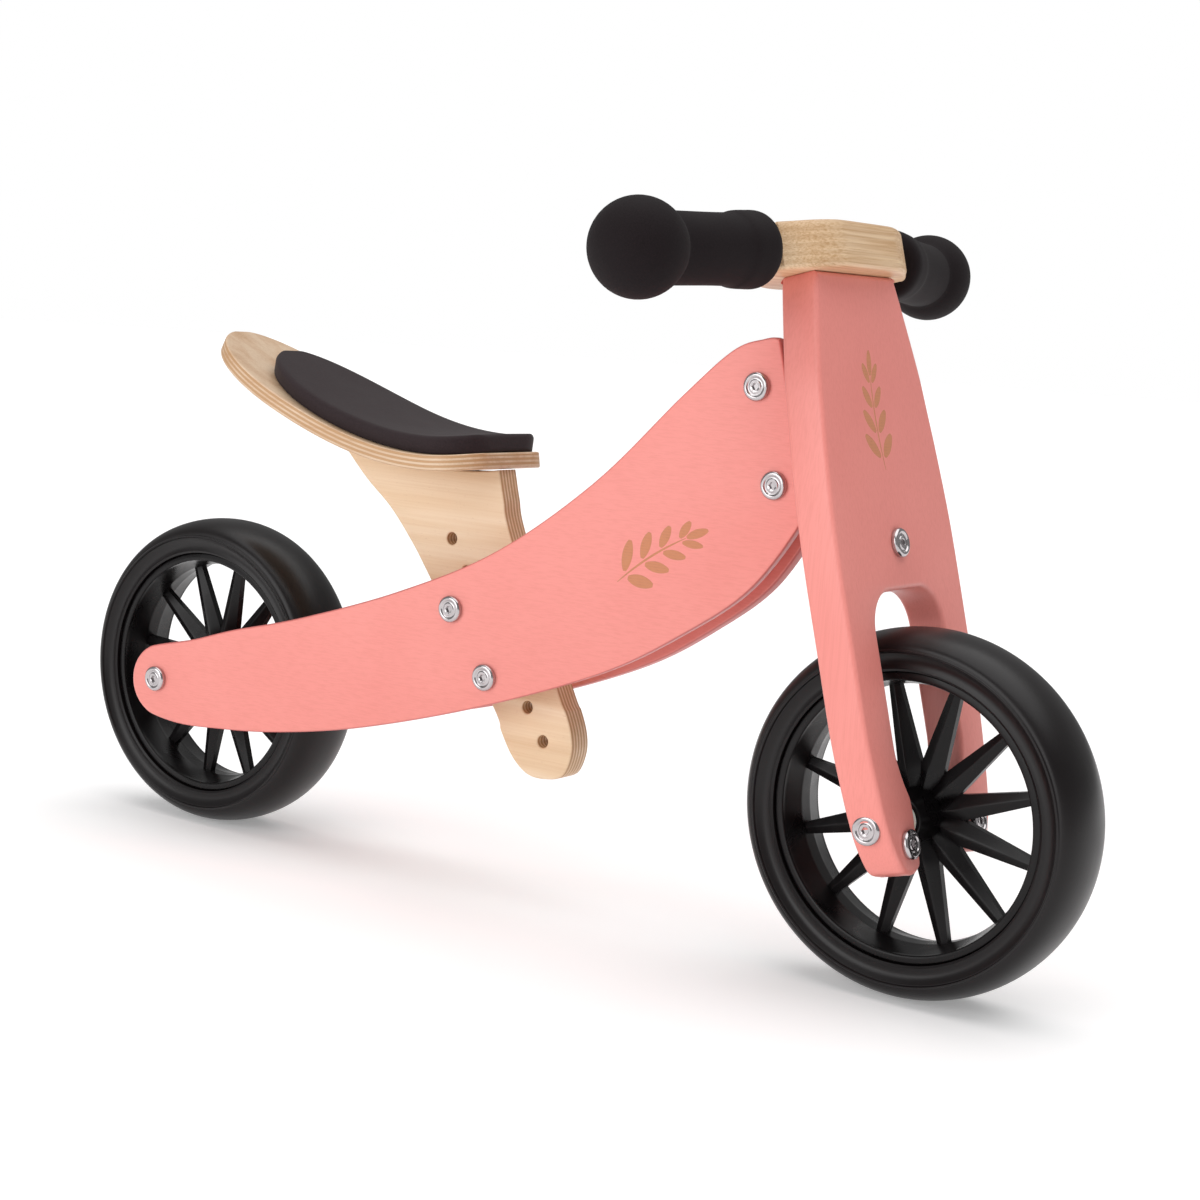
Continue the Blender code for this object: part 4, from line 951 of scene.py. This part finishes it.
studio = dict(paper="#f7f6f6", paperShade="#f4f3f3", paperGlow=0.24, skyLight=0.30,
              keyPower=1.45, keyFrom=(-0.2, -0.95, 0.28), keyAngle=50,
              topPower=1.9, topFrom=(0.1, 0.1, 1.0), topAngle=75)


def buildStudio():
    # A paper floor that glows a little, as on a light table, and two broad suns. The sky is
    # plain white to look at, but lights the scene more softly.
    points, faces = turned([(0.0, 0.0), (4.0, 0.0), (12.0, 0.0)], 96)
    mesh = bpy.data.meshes.new("floor")
    mesh.from_pydata(points.tolist(), [], faces.tolist())
    mesh.validate()
    material, tree, place = startMaterial("matt white paper", Emission_Color=(1, 1, 1, 1),
                                          Emission_Strength=studio["paperGlow"])
    fibre = addNode(tree, "TexNoise", {"Vector": place, "Scale": 3.0})
    colour = addNode(tree, "Mix", {0: fibre, 6: studio["paperShade"], 7: studio["paper"]}, 2,
                     data_type="RGBA")
    endMaterial(tree, colour, fibre, (0.85, 0.95), fibre, 0.1, (0, 1))
    mesh.materials.append(material)
    floor = bpy.data.objects.new("floor", mesh)
    bpy.context.scene.collection.objects.link(floor)
    world = bpy.data.worlds.new("studio")
    bpy.context.scene.world = world
    bpy.context.scene.view_settings.view_transform = "Standard"
    world.use_nodes = True
    tree = world.node_tree
    seen = addNode(tree, "LightPath", output="Is Camera Ray")
    strength = addNode(tree, "MapRange", {"Value": seen, "To Min": studio["skyLight"]})
    sky = tree.nodes["Background"]
    sky.inputs["Color"].default_value = linear("#ffffff")
    tree.links.new(strength, sky.inputs["Strength"])
    for name in ("key", "top"):
        lamp = bpy.data.lights.new(name, "SUN")
        lamp.angle = math.radians(studio[name + "Angle"])
        lamp.energy = studio[name + "Power"]
        light = bpy.data.objects.new(name, lamp)
        light.rotation_euler = Vector(studio[name + "From"]).to_track_quat("Z", "Y").to_euler()
        bpy.context.scene.collection.objects.link(light)


view = dict(sensorMm=36.0, lensMm=67.28329, place=(0.76869, -1.07254, 0.36052),
            turn=(1.436718, -0.069937, 0.606401))


def buildCamera():
    lens = bpy.data.cameras.new("camera")
    lens.sensor_width = view["sensorMm"]
    lens.lens = view["lensMm"]
    camera = bpy.data.objects.new("camera", lens)
    camera.location = view["place"]
    camera.rotation_euler = view["turn"]
    bpy.context.scene.collection.objects.link(camera)
    bpy.context.scene.camera = camera


buildStudio()
buildCamera()
print("studio ready")
